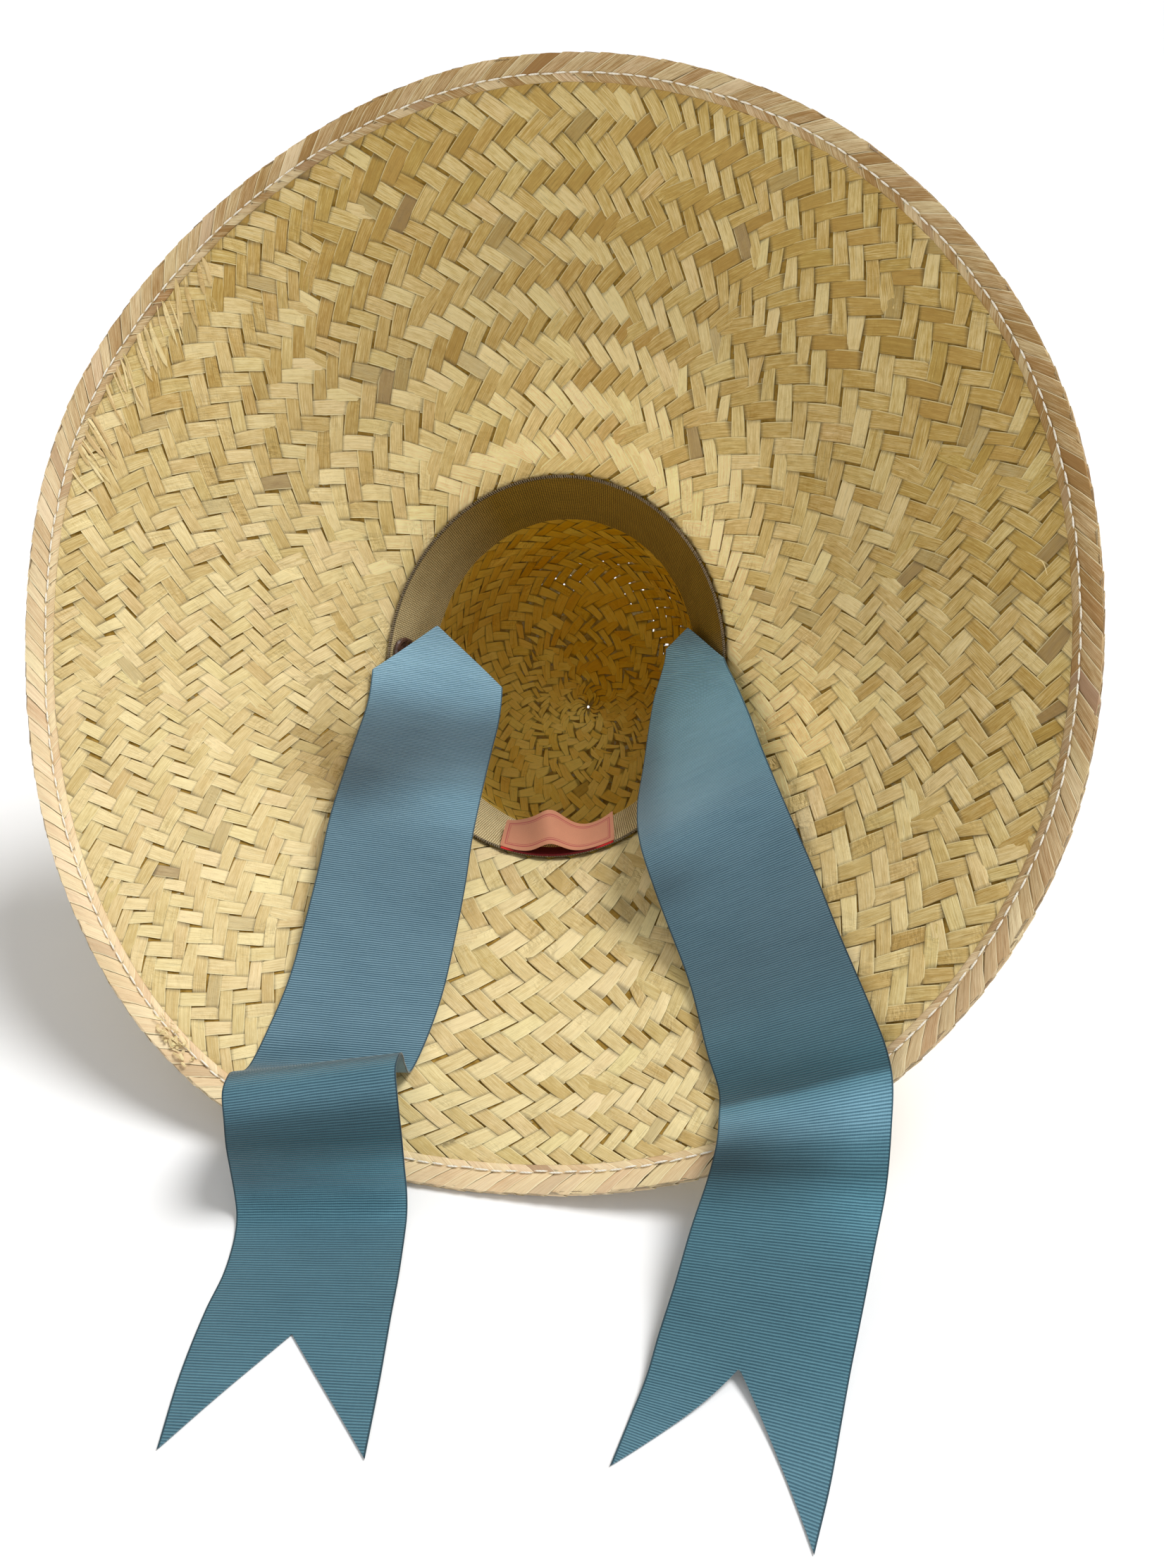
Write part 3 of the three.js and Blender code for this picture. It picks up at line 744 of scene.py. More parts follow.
def straw_material(name, pale, deep, olive, brown, painted_shade_tint, fibre_depth=0.45, lip=0.5, painted_outline_shade=0.0, shine=0.45,
                   spread=1.25):
    """Split-leaf straw: lengthwise fibres, slits, blotches, odd olive or brown strips, painted shadow at the
    ends, painted highlight on one edge.
    """
    s = Shader(name)
    along, across, u = s.parts(s.attribute("strip"))
    v, m, painted_light_and_shade = s.parts(s.attribute("edge"))
    tint = s.attribute("tint", output=0)
    tone, hue, pick = s.parts(tint)

    streak = s.noise(s.vector(along * 0.05, across * 2.6), 1.0, 3.0, 0.6)
    hair = s.noise(s.vector(along * 0.16, across * 8.0, 7.0), 1.0, 2.0, 0.65)
    blotch = s.noise(s.vector(along * 0.16, across * 0.45, 3.0), 1.0, 3.0, 0.6)
    speck = s.noise(s.vector(along * 1.1, across * 2.6, 11.0), 1.0, 2.0, 0.5)
    slit = s.noise(s.vector(along * 0.07, across * 3.4, 19.0), 1.0, 1.0, 0.4).ramp(0.30, 0.24)

    shade = tone * 1.3 + streak * 1.85 + hair * 1.15 + blotch * 0.85
    fresh = shade.ramp(1.93, 3.03)
    colour = s.mix(fresh, deep, pale)
    warm = s.mix(hue.ramp(0.2, 0.8), (0.97, 1.0, 0.88), (1.02, 0.985, 1.0))
    colour = s.mix(1.0, colour, warm, "MULTIPLY")
    # Painted warm shade on the shaded side of the hat, stronger on the darker strips.
    painted_shade_amount = s.attribute("tint", output=3)
    painted_shade_colour = s.mix(painted_shade_amount * (1 + 0.5 * spread - fresh * spread), (1.0, 1.0, 1.0), painted_shade_tint)
    colour = s.mix(1.0, colour, painted_shade_colour, "MULTIPLY")
    colour = s.mix(pick.ramp(0.965, 0.97) * (0.2 + blotch * 0.45), colour, olive)
    colour = s.mix(pick.ramp(0.9955, 0.996) * (0.2 + blotch * 0.6), colour, brown)
    spots = blotch.ramp(0.62, 0.78) * speck.ramp(0.45, 0.65)
    colour = s.mix(spots * 0.45, colour, brown)

    # Painted shadow at the strips' ends where they dip under their neighbours, a painted shadow line along one
    # edge, painted shade along both edges, and a painted highlight along the other edge.
    end = (u - 0.5).abs() * 2
    shadow = end.ramp(0.86, 1.12) * 0.5
    side = v.ramp(0.84, 0.93) * v.ramp(1.0, 0.96)
    painted_edge_shadow = v.ramp(-0.91, -0.98)
    outline = v.abs().ramp(0.82, 0.97) * painted_outline_shade
    colour = s.shade(colour, (1 - shadow) * (1 - slit * 0.4) * (1 - painted_edge_shadow * 0.45) * (1 - outline))
    colour = s.mix(side * lip * (1 - shadow), colour, tuple(min(1, 1.2 * c) for c in pale))
    # Painted light near the opening and beside the right tie, and painted shadow beside the left tie.
    colour = s.shade(colour, 1 + painted_light_and_shade.ramp(0.0, 1.6) * 0.8)
    dim = s.mix(1.0, colour, (0.50, 0.43, 0.28), "MULTIPLY")
    colour = s.mix(painted_light_and_shade.ramp(0.0, -1.0), colour, dim)
    middle = 1 - v.abs().ramp(0.0, 0.16)
    colour = s.shade(colour, 1 - middle * streak.ramp(0.45, 0.6) * 0.13)

    crumple = s.noise(s.vector(along * 0.55, across * 0.3, 23.0), 1.0, 2.0, 0.5)
    crumpled = s.noise(s.vector(along * 0.06, across * 0.06, 29.0), 1.0, 1.0, 0.5).ramp(0.5, 0.72)
    near = m.ramp(0.45, 0.1, 1.0, 2.2)
    height = streak * 0.55 + hair * 0.35 + blotch * 0.5 - slit * 0.6 + crumple * crumpled * near * 4.4
    rough = 0.42 + streak * 0.2 + blotch * 0.12
    return s.surface(colour, rough, s.bump(height, fibre_depth, 0.7 * MM), Specular_IOR_Level=shine)


def backing_material():
    """Dark layer between the weave's two faces, seen through its gaps: painted shade for the strips' shaded
    undersides.
    """
    s = Shader("straw_shadow_side")
    at = s.node("ShaderNodeTexCoord", output=3)
    rough = s.noise(at, 300.0, 3.0, 0.6)
    colour = s.colours(rough, [(0.3, (0.22, 0.12, 0.015)), (0.7, (0.44, 0.27, 0.06))])
    return s.surface(colour, 0.8, s.bump(rough, 0.3, 0.4 * MM), Specular_IOR_Level=0.05)


# ---------- binding of the rim ----------
BINDING_IN = 9.5
BINDING_TURN = 1.9
BINDING_OUT = 1.4
SLAT_COUNT = 176


def binding_path():
    """Section of the folded plait: distance past the rim and height over the brim's middle, by length."""
    half = math.pi * (np.arange(9) / 8 - 0.5)
    fold = np.stack([0.1 + 1.15 * np.cos(half), -BINDING_TURN * np.sin(half)], -1)
    inner = np.array([[-BINDING_IN, 1.25], [-6.4, 1.9], [-6.0, 1.75], [-2.5, 2.0]])
    outer = np.array([[-2.5, -2.0], [-6.0, -1.75], [-6.4, -1.9], [-BINDING_IN, -1.25]])
    path = np.vstack([inner, fold, outer])
    length = np.concatenate([[0], np.cumsum(np.hypot(*np.diff(path, axis=0).T))])
    return path, length


BINDING_PATH, BINDING_LENGTH = binding_path()


def binding_surface(angle, q):
    """The plait's bed: q is the length round the fold, from its inner edge over the rim to its outer edge."""
    q = np.clip(q, 0, BINDING_LENGTH[-1])
    past = np.interp(q, BINDING_LENGTH, BINDING_PATH[:, 0])
    up = np.interp(q, BINDING_LENGTH, BINDING_PATH[:, 1])
    rim = brim(angle, 1.0)
    inside = brim(angle, 0.93)
    out = unit(rim - inside)
    round_rim = brim(angle + 0.01, 1.0) - brim(angle - 0.01, 1.0)
    normal = unit(np.cross(out, round_rim))
    return rim + out * past[..., None] + normal * (up - 0.55)[..., None]


def slat_tiles(rows, seed):
    """Slats of the plait: parallelograms between two lengths round the fold, leaning in turn."""
    rng = np.random.default_rng(seed)
    angles, places = [], []
    start = 0.0
    pitch = FULL_TURN / SLAT_COUNT
    k = np.arange(SLAT_COUNT)
    for low, high, lean in rows:
        jitter = rng.normal(0, 0.07, SLAT_COUNT) * pitch
        left = (k + start) * pitch + jitter
        right = (k + start + 1.08) * pitch + np.roll(jitter, -1)
        angles.append(np.stack([left, right, right + lean * pitch, left + lean * pitch], -1))
        wob = rng.normal(0, 0.18, (SLAT_COUNT, 4))
        places.append(np.stack([0 * k + low, 0 * k + low, 0 * k + high, 0 * k + high], -1) + wob)
        start += lean
    return np.concatenate(angles), np.concatenate(places)


def capsules(centres, directions, sides, lengths, radii, flats, steps, loop):
    """Short rounded threads: an ellipse section carried along each direction, closing to small ends."""
    t = np.linspace(-1, 1, steps)
    swell = np.sqrt(np.maximum(1 - t**4, 0.03))
    turn = np.arange(loop) / loop * FULL_TURN
    up = np.cross(directions, sides)
    reach = t[None, :, None, None] * lengths[:, None, None, None] / 2
    along = centres[:, None, None] + directions[:, None, None] * reach
    ring = (np.cos(turn)[:, None] * sides[:, None, None] * radii[:, None, None, None]
            + np.sin(turn)[:, None] * up[:, None, None] * (radii * flats)[:, None, None, None])
    points = along + ring * swell[None, :, None, None]
    loops, sizes = sweep_faces(len(centres), steps - 1, loop)
    return points.reshape(-1, 3), loops, sizes


def thread_material(name, light, dark, lines):
    """Twisted thread: colour and bump follow fine slanting ply lines."""
    s = Shader(name)
    at = s.node("ShaderNodeTexCoord", output=3)
    fuzz = s.noise(at, 900.0, 3.0, 0.6)
    drift = s.noise(at, 60.0, 2.0, 0.5)
    x, y, z = s.parts(at)
    ply = ((x + y * 0.8 + z * 0.6) * lines).sin() * 0.5 + 0.5
    colour = s.mix((fuzz * 0.5 + drift * 0.4 + ply * 0.25).ramp(0.3, 0.85), dark, light)
    return s.surface(colour, 0.7, s.bump(ply * 0.6 + fuzz * 0.5, 0.35, 0.25 * MM), Sheen_Weight=0.15)


def loose_strands(name, angle, m, height, width, material, seed):
    """Thin flat straws: a six-sided section carried along lines given by angle, place and height over the
    brim, and narrowing to both ends."""
    rng = np.random.default_rng(seed)
    bed, normal = surface_frame(hat_surface, angle, m)
    line = bed + normal * height[..., None]
    ahead = unit(np.gradient(line, axis=1))
    side = unit(np.cross(normal, ahead))
    up = np.cross(ahead, side)
    steps = line.shape[1]
    turn = np.arange(6) / 6 * FULL_TURN
    taper = np.sqrt(np.clip(1.02 - (2 * np.linspace(0, 1, steps) - 1) ** 4, 0.02, 1))[None, :, None, None]
    ring = (np.cos(turn)[:, None] * side[:, :, None] * (width[:, None, None, None] / 2)
            + np.sin(turn)[:, None] * up[:, :, None] * 0.14)
    points = line[:, :, None] + ring * taper
    count = len(line)
    along = np.cumsum(np.linalg.norm(np.diff(line, axis=1, prepend=line[:, :1]), axis=-1), axis=1)
    strip = np.stack(np.broadcast_arrays(along[:, :, None] + rng.uniform(0, 900, count)[:, None, None],
                                         (np.cos(turn) * 0.5)[None, None, :] * width[:, None, None],
                                         np.full((1, 1, 1), 0.5)), -1)
    tone = rng.uniform(0.15, 0.9, count)
    hue = rng.uniform(0.3, 0.7, count)
    brown = rng.uniform(0, 0.95, count)
    tint = np.stack([tone, hue, brown, painted_shade_side(angle[:, 0], m[:, 0])], -1)
    tint = np.broadcast_to(tint[:, None, None, :], points.shape[:3] + (4,))
    edge = np.stack(np.broadcast_arrays((np.cos(turn) * 0.7)[None, None, :], 0 * along[:, :, None],
                                        0 * along[:, :, None]), -1)
    loops, sizes = sweep_faces(count, steps - 1, 6)
    fields = {"strip": strip.reshape(-1, 3), "tint": tint.reshape(-1, 4), "edge": edge.reshape(-1, 3)}
    thing = make_mesh(name, hat_to_row(points.reshape(-1, 3)), loops, sizes, 50, fields)
    return finish_piece(thing, "straw", material)


# ---------- sweatband ----------
def band_surface(angle, depth):
    """The sweatband's face: leans in as it goes down into the crown."""
    lean = BAND_LEAN - BAND_LEAN_LESS * np.maximum(0, np.sin(angle))
    radius = opening_radius(angle) - BAND_INSET - lean * depth
    height = BAND_STAND - BAND_WIDTH_ALONG * depth
    return np.stack([radius * np.cos(angle), radius * np.sin(angle), height], -1)


def closed_strip(surface, angles, depths, front, back, bulge):
    """A closed band round the hat: front and back faces offset along the normal, joined at both edges."""
    a, d = np.meshgrid(angles, depths, indexing="ij")
    points, normal = surface_frame(surface, a, d, 0.01, 0.02)
    normal = facing_in(points, normal)
    lift = bulge(a, d)
    front_points = points + normal * (front + lift)[..., None]
    back_points = points + normal * (back + lift * 0.3)[..., None]
    return a, d, front_points, back_points


def cloth_material(name, light, dark, brown, rib_pitch):
    """Ribbed petersham: crossing fine ribs, uneven dye, painted shade that browns its shaded side, and a painted
    shadow along its edge.
    """
    s = Shader(name)
    along, across, shade = s.parts(s.attribute("strip"))
    drift = s.noise(s.vector(along * 0.05, across * 0.12), 1.0, 4.0, 0.6)
    fuzz = s.noise(s.vector(along * 2.2, across * 2.2, 5.0), 1.0, 3.0, 0.6)
    warp = s.noise(s.vector(along * 0.5, across * 0.5, 9.0), 1.0, 2.0, 0.5)
    rib = ((along + warp * 0.7) * (FULL_TURN / rib_pitch)).sin() * 0.5 + 0.5
    pick = ((across + warp * 0.7) * (FULL_TURN / rib_pitch)).sin() * 0.5 + 0.5
    cell = rib * 0.6 + pick * 0.4
    tone = cell * 1.2 + drift * 0.4 + fuzz * 0.3
    colour = s.mix(tone.ramp(0.5, 1.4), dark, light)
    # Painted shade: browner where the band is in shade.
    painted_shade_cloth = s.mix(tone.ramp(0.5, 1.4), tuple(c * 0.3 for c in brown), brown)
    colour = s.mix(shade * 1.35 - 0.2, colour, painted_shade_cloth)
    # Painted shadow along the sewn edge, under the overcast stitches.
    painted_edge_shadow = across.ramp(1.3, 0.7)
    colour = s.shade(colour, 1 - painted_edge_shadow * 0.8)
    return s.surface(colour, 0.85, s.bump(cell * 0.9 + fuzz * 0.4, 0.8, 0.5 * MM), Specular_IOR_Level=0.15)


def label_surface(across, up):
    """The bare label: sewn to the band at the ends of its lower edge. That edge has one Gaussian hump, and
    the label turns up off the band by an angle with a Gaussian buckle and a raised right corner."""
    radius = opening_radius(LABEL_ANGLE) - BAND_INSET
    angle = LABEL_ANGLE + (across - 0.5) * (1 + 0.14 * up) * LABEL_LENGTH / radius
    slant = math.hypot(BAND_LEAN, BAND_WIDTH_ALONG)
    bow = 5.2 * np.exp(-(((across - 0.45) / 0.15) ** 2))
    lift = np.radians(12 + 38 * np.exp(-(((across - 0.35) / 0.26) ** 2)) + 13 * across**4)
    depth = (0.5 + LABEL_HEIGHT * up * np.cos(lift)) / slant
    stand = 1.1 + bow + LABEL_HEIGHT * up * np.sin(lift)
    points, normal = surface_frame(band_surface, angle, depth, 0.01, 0.02)
    normal = facing_in(points, normal)
    return points + normal * stand[..., None]


# ---------- ribbons ----------
def tie_surface(tie, columns, rows):
    """Ruled surface between two spline edges, its start cut to a point and its end to a notch. Gives the
    points, the share across, the millimetres along, and the length from the button to the notch's tails."""
    table = np.array(tie["rows"], float)
    left, right = table[:, :3], table[:, 3:]
    fine = np.linspace(0, 1, 900)
    middle = (spline(left, fine) + spline(right, fine)) / 2
    length = np.concatenate([[0], np.cumsum(np.linalg.norm(np.diff(middle, axis=0), axis=1))])
    top = np.interp(1 / (len(left) - 1), fine, length)
    across = np.linspace(0, 1, columns)
    share = np.linspace(0, 1, rows)
    peak = np.maximum(0, 1 - np.abs(2 * across - 1))
    dip = np.interp(across, [0, tie["notch_at"], 1], [0, 1, 0])
    start = top - tie["point"] * peak
    end = length[-1] - tie["notch"] * dip
    along = start[:, None] + (end - start)[:, None] * share[None, :]
    place = np.interp(along, length, fine)
    shape = place.shape
    a = spline(left, place.ravel()).reshape(*shape, 3)
    b = spline(right, place.ravel()).reshape(*shape, 3)
    points = a + (b - a) * across[:, None, None]
    points[..., 2] = np.maximum(points[..., 2], 0.4)
    return points, across[:, None] + 0 * along, along, length[-1] - top


def grosgrain_material(name, light, deep, tie):
    """Grosgrain: ribs across with painted light on their tops and painted shade in the grooves, tight selvedges,
    and light and shade painted along the tie.
    """
    s = Shader(name)
    across, along, _ = s.parts(s.attribute("strip"))
    wave = s.noise(s.vector(across * 0.025, along * 0.02, 14.0), 1.0, 2.0, 0.5)
    # Painted light and shade along the tie, and painted spots of light and shade on its folds.
    places, reds = zip(*tie["reds"])
    stops = []
    for place, tone in tie["bands"]:
        red = tone * float(np.interp(place, places, reds))
        stops.append((place / TONE_LENGTH, (red, tone, tone)))
    painted_tone_along_tie = s.colours((along + wave * 5.0 - 2.5) / TONE_LENGTH, stops)
    for at, down, half_across, half_along, change in tie["painted_fold_spots"]:
        x = (across - at) / half_across
        y = (along + wave * 6.0 - 3.0 - down) / half_along
        hill = EULER ** ((x * x + y * y) * -1.0)
        painted_tone_along_tie = s.shade(painted_tone_along_tie, 1 + hill * change)
    drift = s.noise(s.vector(across * 0.03, along * 0.05), 1.0, 3.0, 0.55)
    streak = s.noise(s.vector(across * 0.05, along * 1.5, 4.0), 1.0, 3.0, 0.6)
    fuzz = s.noise(s.vector(across * 3.0, along * 3.0, 8.0), 1.0, 2.0, 0.6)
    thread = s.noise(s.vector(across * 0.9, along * 0.25, 2.0), 1.0, 2.0, 0.5)
    wander = s.noise(s.vector(across * 0.08, along * 0.2, 6.0), 1.0, 2.0, 0.5)
    rib = ((along + wander * 0.5) * (FULL_TURN / 0.98)).sin() * 0.5 + 0.5
    warp = (across * (FULL_TURN / 0.42)).sin() * 0.5 + 0.5
    edge = (across - RIBBON_WIDTH / 2).abs()
    selvedge = edge.ramp(31.3, 31.6)
    body = 1 - selvedge
    # The rib colour paints light on the ribs' tops and the groove colour paints shade between them, over uneven
    # dye.
    tone = rib * 0.58 * body + streak * 0.35 + fuzz * 0.2 + drift * 0.25 + warp * 0.1 + thread * 0.12
    colour = s.mix(tone.ramp(0.34, 1.17), deep, light)
    colour = s.shade(colour, 1 - selvedge * 0.5)
    colour = s.mix(1.0, colour, painted_tone_along_tie, "MULTIPLY")
    height = (rib ** 0.7) * 0.9 * body + warp * 0.18 + fuzz * 0.25 + selvedge * 0.5
    return s.surface(colour, 0.62, s.bump(height, 0.75, 0.4 * MM), Sheen_Weight=0.35, Sheen_Roughness=0.4,
                     Specular_IOR_Level=0.3)


# ---------- buttons ----------
def horn_material(name, dark, light):
    """Polished dark horn with soft pale veins."""
    s = Shader(name)
    at = s.node("ShaderNodeTexCoord", output=3)
    swirl = s.noise(at, 120.0, 4.0, 0.6, 1.2)
    fine = s.noise(at, 700.0, 2.0, 0.5)
    colour = s.mix((swirl * 0.8 + fine * 0.2).ramp(0.4, 0.72), dark, light)
    return s.surface(colour, 0.22 + fine * 0.1, s.bump(fine, 0.05, 0.2 * MM), Coat_Weight=0.4,
                     Coat_Roughness=0.15)


def slab_faces(nu, nv, wrap=False):
    """Faces of a closed thin slab: a front grid of nu x nv points, a back grid after it, and the walls round
    the edge. With wrap the first direction closes on itself."""
    i = np.arange(nu if wrap else nu - 1)
    j = np.arange(nv - 1)
    ii, jj = np.meshgrid(i, j, indexing="ij")
    nxt = (ii + 1) % nu
    front = np.stack([ii * nv + jj, nxt * nv + jj, nxt * nv + jj + 1, ii * nv + jj + 1], -1).reshape(-1, 4)
    back = front[:, ::-1] + nu * nv
    total = nu * nv
    low = np.stack([i * nv, i * nv + total, (i + 1) % nu * nv + total, (i + 1) % nu * nv], -1)
    high = np.stack([i * nv + nv - 1, (i + 1) % nu * nv + nv - 1, (i + 1) % nu * nv + nv - 1 + total,
                     i * nv + nv - 1 + total], -1)
    faces = [front, back, low, high]
    if not wrap:
        first = np.stack([j, j + 1, j + 1 + total, j + total], -1)
        last_row = (nu - 1) * nv
        last = np.stack([last_row + j, last_row + j + total, last_row + j + 1 + total, last_row + j + 1], -1)
        faces += [first, last]
    faces = np.concatenate(faces)
    return faces.ravel(), np.full(len(faces), 4)


def slab(name, front, back, wrap, attributes, flip=False, smooth=40):
    """A closed slab object from two grids of points in metres."""
    nu, nv = front.shape[:2]
    loops, sizes = slab_faces(nu, nv, wrap)
    if flip:
        loops = loops.reshape(-1, 4)[:, ::-1].ravel()
    points = np.concatenate([front.reshape(-1, 3), back.reshape(-1, 3)])
    doubled = {k: np.concatenate([v.reshape(-1, v.shape[-1])] * 2) for k, v in attributes.items()}
    return make_mesh(name, points, loops, sizes, smooth, doubled)


# ---------- settings ----------
class SunHatStraw(bpy.types.PropertyGroup):
    pale: bpy.props.FloatVectorProperty(
        name="Pale Straw", description="Light side of the straw", subtype="COLOR",
        default=(0.90, 0.745, 0.42), min=0, max=1)
    deep: bpy.props.FloatVectorProperty(
        name="Deep Straw", description="Deep side of the straw", subtype="COLOR", default=(0.58, 0.41, 0.155),
        min=0, max=1)
    # Painted sheen: how far the two leaning families of strips are painted lighter and darker in turn.
    tone: bpy.props.FloatProperty(
        name="Lean Contrast", description="How much the two leaning families of strips differ in tone",
        default=0.72, min=0, max=2)
    rise: bpy.props.FloatProperty(
        name="Strip Bulge", description="How far a strip bulges over its neighbours", default=0.0006,
        min=0.0001, max=0.002, unit="LENGTH")


class SunHatBinding(bpy.types.PropertyGroup):
    stitch_pitch: bpy.props.FloatProperty(
        name="Stitch Pitch", description="From one stitch of the rim to the next", default=0.0057, min=0.003,
        max=0.02, unit="LENGTH")
    bead_pitch: bpy.props.FloatProperty(
        name="Overcast Pitch", description="From one overcast stitch of the sweatband to the next",
        default=0.0011, min=0.0005, max=0.005, unit="LENGTH")


class SunHatCloth(bpy.types.PropertyGroup):
    band: bpy.props.FloatVectorProperty(
        name="Sweatband", description="Light side of the sweatband", subtype="COLOR",
        default=(1.0, 0.85, 0.50), min=0, max=1)
    # Painted light and shade: the rib colour is lit, the groove colour shaded.
    ribbon_light: bpy.props.FloatVectorProperty(
        name="Ribbon Rib", description="Colour of the ribbon's ribs", subtype="COLOR",
        default=(0.44, 0.77, 0.96), min=0, max=1)
    ribbon_deep: bpy.props.FloatVectorProperty(
        name="Ribbon Groove", description="Colour of the ribbon's grooves", subtype="COLOR",
        default=(0.055, 0.19, 0.285), min=0, max=1)
    label: bpy.props.FloatVectorProperty(
        name="Label", description="Colour of the bare label", subtype="COLOR", default=(0.79, 0.33, 0.185),
        min=0, max=1)
    button: bpy.props.FloatVectorProperty(
        name="Button", description="Colour of the buttons", subtype="COLOR", default=(0.055, 0.028, 0.02),
        min=0, max=1)


# ---------- operators ----------
def add_lamp(name, kind, energy, turn, place=(0, 0, 0), **settings):
    """A light of the given kind and energy, turned by three angles in degrees, at a place in metres."""
    light = bpy.data.lights.new(name, kind)
    light.energy = energy
    for key, value in settings.items():
        setattr(light, key, value)
    lamp = bpy.data.objects.new(name, light)
    lamp.location = place
    lamp.rotation_euler = [math.radians(part) for part in turn]
    bpy.context.scene.collection.objects.link(lamp)


class SUNHAT_OT_stage(bpy.types.Operator):
    """Adds the camera, the soft studio light and the pale floor"""

    bl_idname = "sunhat.stage"
    bl_label = "Stage"

    def execute(self, context):
        data = bpy.data.cameras.new("camera")
        data.sensor_fit = "AUTO"
        data.sensor_width = SENSOR_LENGTH
        data.lens = CAMERA_LENS
        camera = bpy.data.objects.new("camera", data)
        camera.location = [part * MM for part in CAMERA_PLACE]
        camera.rotation_euler = (CAMERA_PITCH, 0, 0)
        context.scene.collection.objects.link(camera)
        context.scene.camera = camera

        context.scene.view_settings.view_transform = "Standard"
        world = bpy.data.worlds.new("studio")
        world.use_nodes = True
        background = world.node_tree.nodes["Background"]
        background.inputs["Color"].default_value = (1.0, 1.0, 1.0, 1)
        background.inputs["Strength"].default_value = 0.44
        context.scene.world = world
        add_lamp("key", "SUN", 2.40, (0, 27, 12), angle=math.radians(24))
        add_lamp("fill", "AREA", 0.75, (62, 0, 8), place=(0.15, -0.95, 0.75), size=0.6)

        flat = np.linspace(0, FLOOR_FLAT, 6)[1:]
        rising = np.linspace(FLOOR_FLAT, FLOOR_REACH, 16)[1:]
        radius = np.concatenate([flat, rising])
        angle = np.arange(FLOOR_SIDES) / FLOOR_SIDES * FULL_TURN
        r, a = np.meshgrid(radius, angle, indexing="ij")
        rise = FLOOR_RISE * np.clip((r - FLOOR_FLAT) / (FLOOR_REACH - FLOOR_FLAT), 0, 1) ** 2 - FLOOR_DROP
        dish = np.stack([r * np.cos(a), r * np.sin(a), rise], -1).reshape(-1, 3)
        dish = np.vstack([dish, [0, 0, -FLOOR_DROP]])
        i, j = np.meshgrid(np.arange(len(radius) - 1), np.arange(FLOOR_SIDES), indexing="ij")
        ring, ring_out, nxt = i * FLOOR_SIDES, (i + 1) * FLOOR_SIDES, (j + 1) % FLOOR_SIDES
        quads = np.stack([ring + j, ring_out + j, ring_out + nxt, ring + nxt], -1)
        k = np.arange(FLOOR_SIDES)
        middle = np.stack([k, (k + 1) % FLOOR_SIDES, 0 * k + len(dish) - 1], -1)
        s = Shader("floor_pale")
        at = s.node("ShaderNodeTexCoord", output=3)
        grain = s.noise(at, 30.0, 2.0, 0.5)
        material = s.surface(s.mix(grain, (0.93, 0.93, 0.93), (0.95, 0.95, 0.95)), 0.9)
        floor = make_mesh("floor", dish, np.concatenate([quads.ravel(), middle.ravel()]),
                          np.concatenate([np.full(quads.size // 4, 4), np.full(FLOOR_SIDES, 3)]))
        floor.data.materials.append(material)
        return {"FINISHED"}


class SUNHAT_OT_weave(bpy.types.Operator):
    """Adds the woven straw of the crown and brim, inside and outside, over a thin dark layer"""

    bl_idname = "sunhat.weave"
    bl_label = "Woven Straw"

    def execute(self, context):
        scene = context.scene
        # The fifth colour of each straw is the tint of its painted warm shade.
        straw = straw_material("straw", scene.sunhat_straw.pale[:], scene.sunhat_straw.deep[:],
                               (0.36, 0.27, 0.11), (0.27, 0.15, 0.055), (0.735, 0.605, 0.285), painted_outline_shade=0.13)
        # A deeper amber copy of the straw for the crown's inside: painted glow of light coming through the
        # straw, and painted shade towards the top.
        inner = straw_material("straw_inner_painted_glow", (1.0, 0.755, 0.195), (0.90, 0.565, 0.085), (0.55, 0.36, 0.04),
                               (0.42, 0.22, 0.02), (0.62, 0.44, 0.03), lip=0.12, painted_outline_shade=0.53, shine=0.12,
                               spread=0.3)
        rise = scene.sunhat_straw.rise / MM
        tone = scene.sunhat_straw.tone
        parts = (
            ("brim_inside", 1, CROWN_ROWS, CROWN_ROWS + BRIM_ROWS, rise, FACING_STRIP),
            ("crown_inside", 1, 0, CROWN_ROWS, rise * 1.4, FACING_STRIP),
            ("brim_outside", -1, CROWN_ROWS, CROWN_ROWS + BRIM_ROWS, rise, HIDDEN_STRIP),
            ("crown_outside", -1, 0, CROWN_ROWS, rise, HIDDEN_STRIP),
        )
        for order, (name, side, first, last, bulge, section) in enumerate(parts):
            for family in ("P", "Q"):
                even = (family == "P") == (side > 0)
                angles, rows = family_tiles(family, first, last, even, 11 + order)
                gap = -0.03 if name == "crown_inside" else 0.02
                thing = strip_mesh(f"{name}_{family.lower()}_strips", hat_surface, angles, rows, side,
                                   0.42, bulge, 0.36, 31 + 2 * order + (family == "Q"), family, tone,
                                   extend=0.42, gap=gap, section=section)
                finish_piece(thing, "straw", inner if name == "crown_inside" else straw)
        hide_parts("straw_body")

        shadow = backing_material()
        turn = np.arange(160) / 160 * FULL_TURN
        # The layer of the crown's rounding is left open at the front, behind the pinholes.
        part_turn = np.radians(np.linspace(112, 372, 110))
        layers = (
            ("brim_shadow_layer", turn, np.linspace(-0.02, 0.99, 26), True),
            ("crown_top_shadow_layer", turn, np.linspace(-0.9955, -0.69, 14), True),
            ("crown_round_shadow_layer", part_turn, np.linspace(-0.70, -0.41, 12), False),
            ("crown_wall_shadow_layer", turn, np.linspace(-0.42, -0.03, 14), True),
        )
        for name, angle, m, closed in layers:
            a, mm = np.meshgrid(angle, m, indexing="ij")
            points, normal = surface_frame(hat_surface, a, mm)
            backing = slab(name, hat_to_row(points + 0.12 * normal), hat_to_row(points - 0.12 * normal),
                           closed, {}, flip=True)
            finish_piece(backing, "straw", shadow)
        return {"FINISHED"}


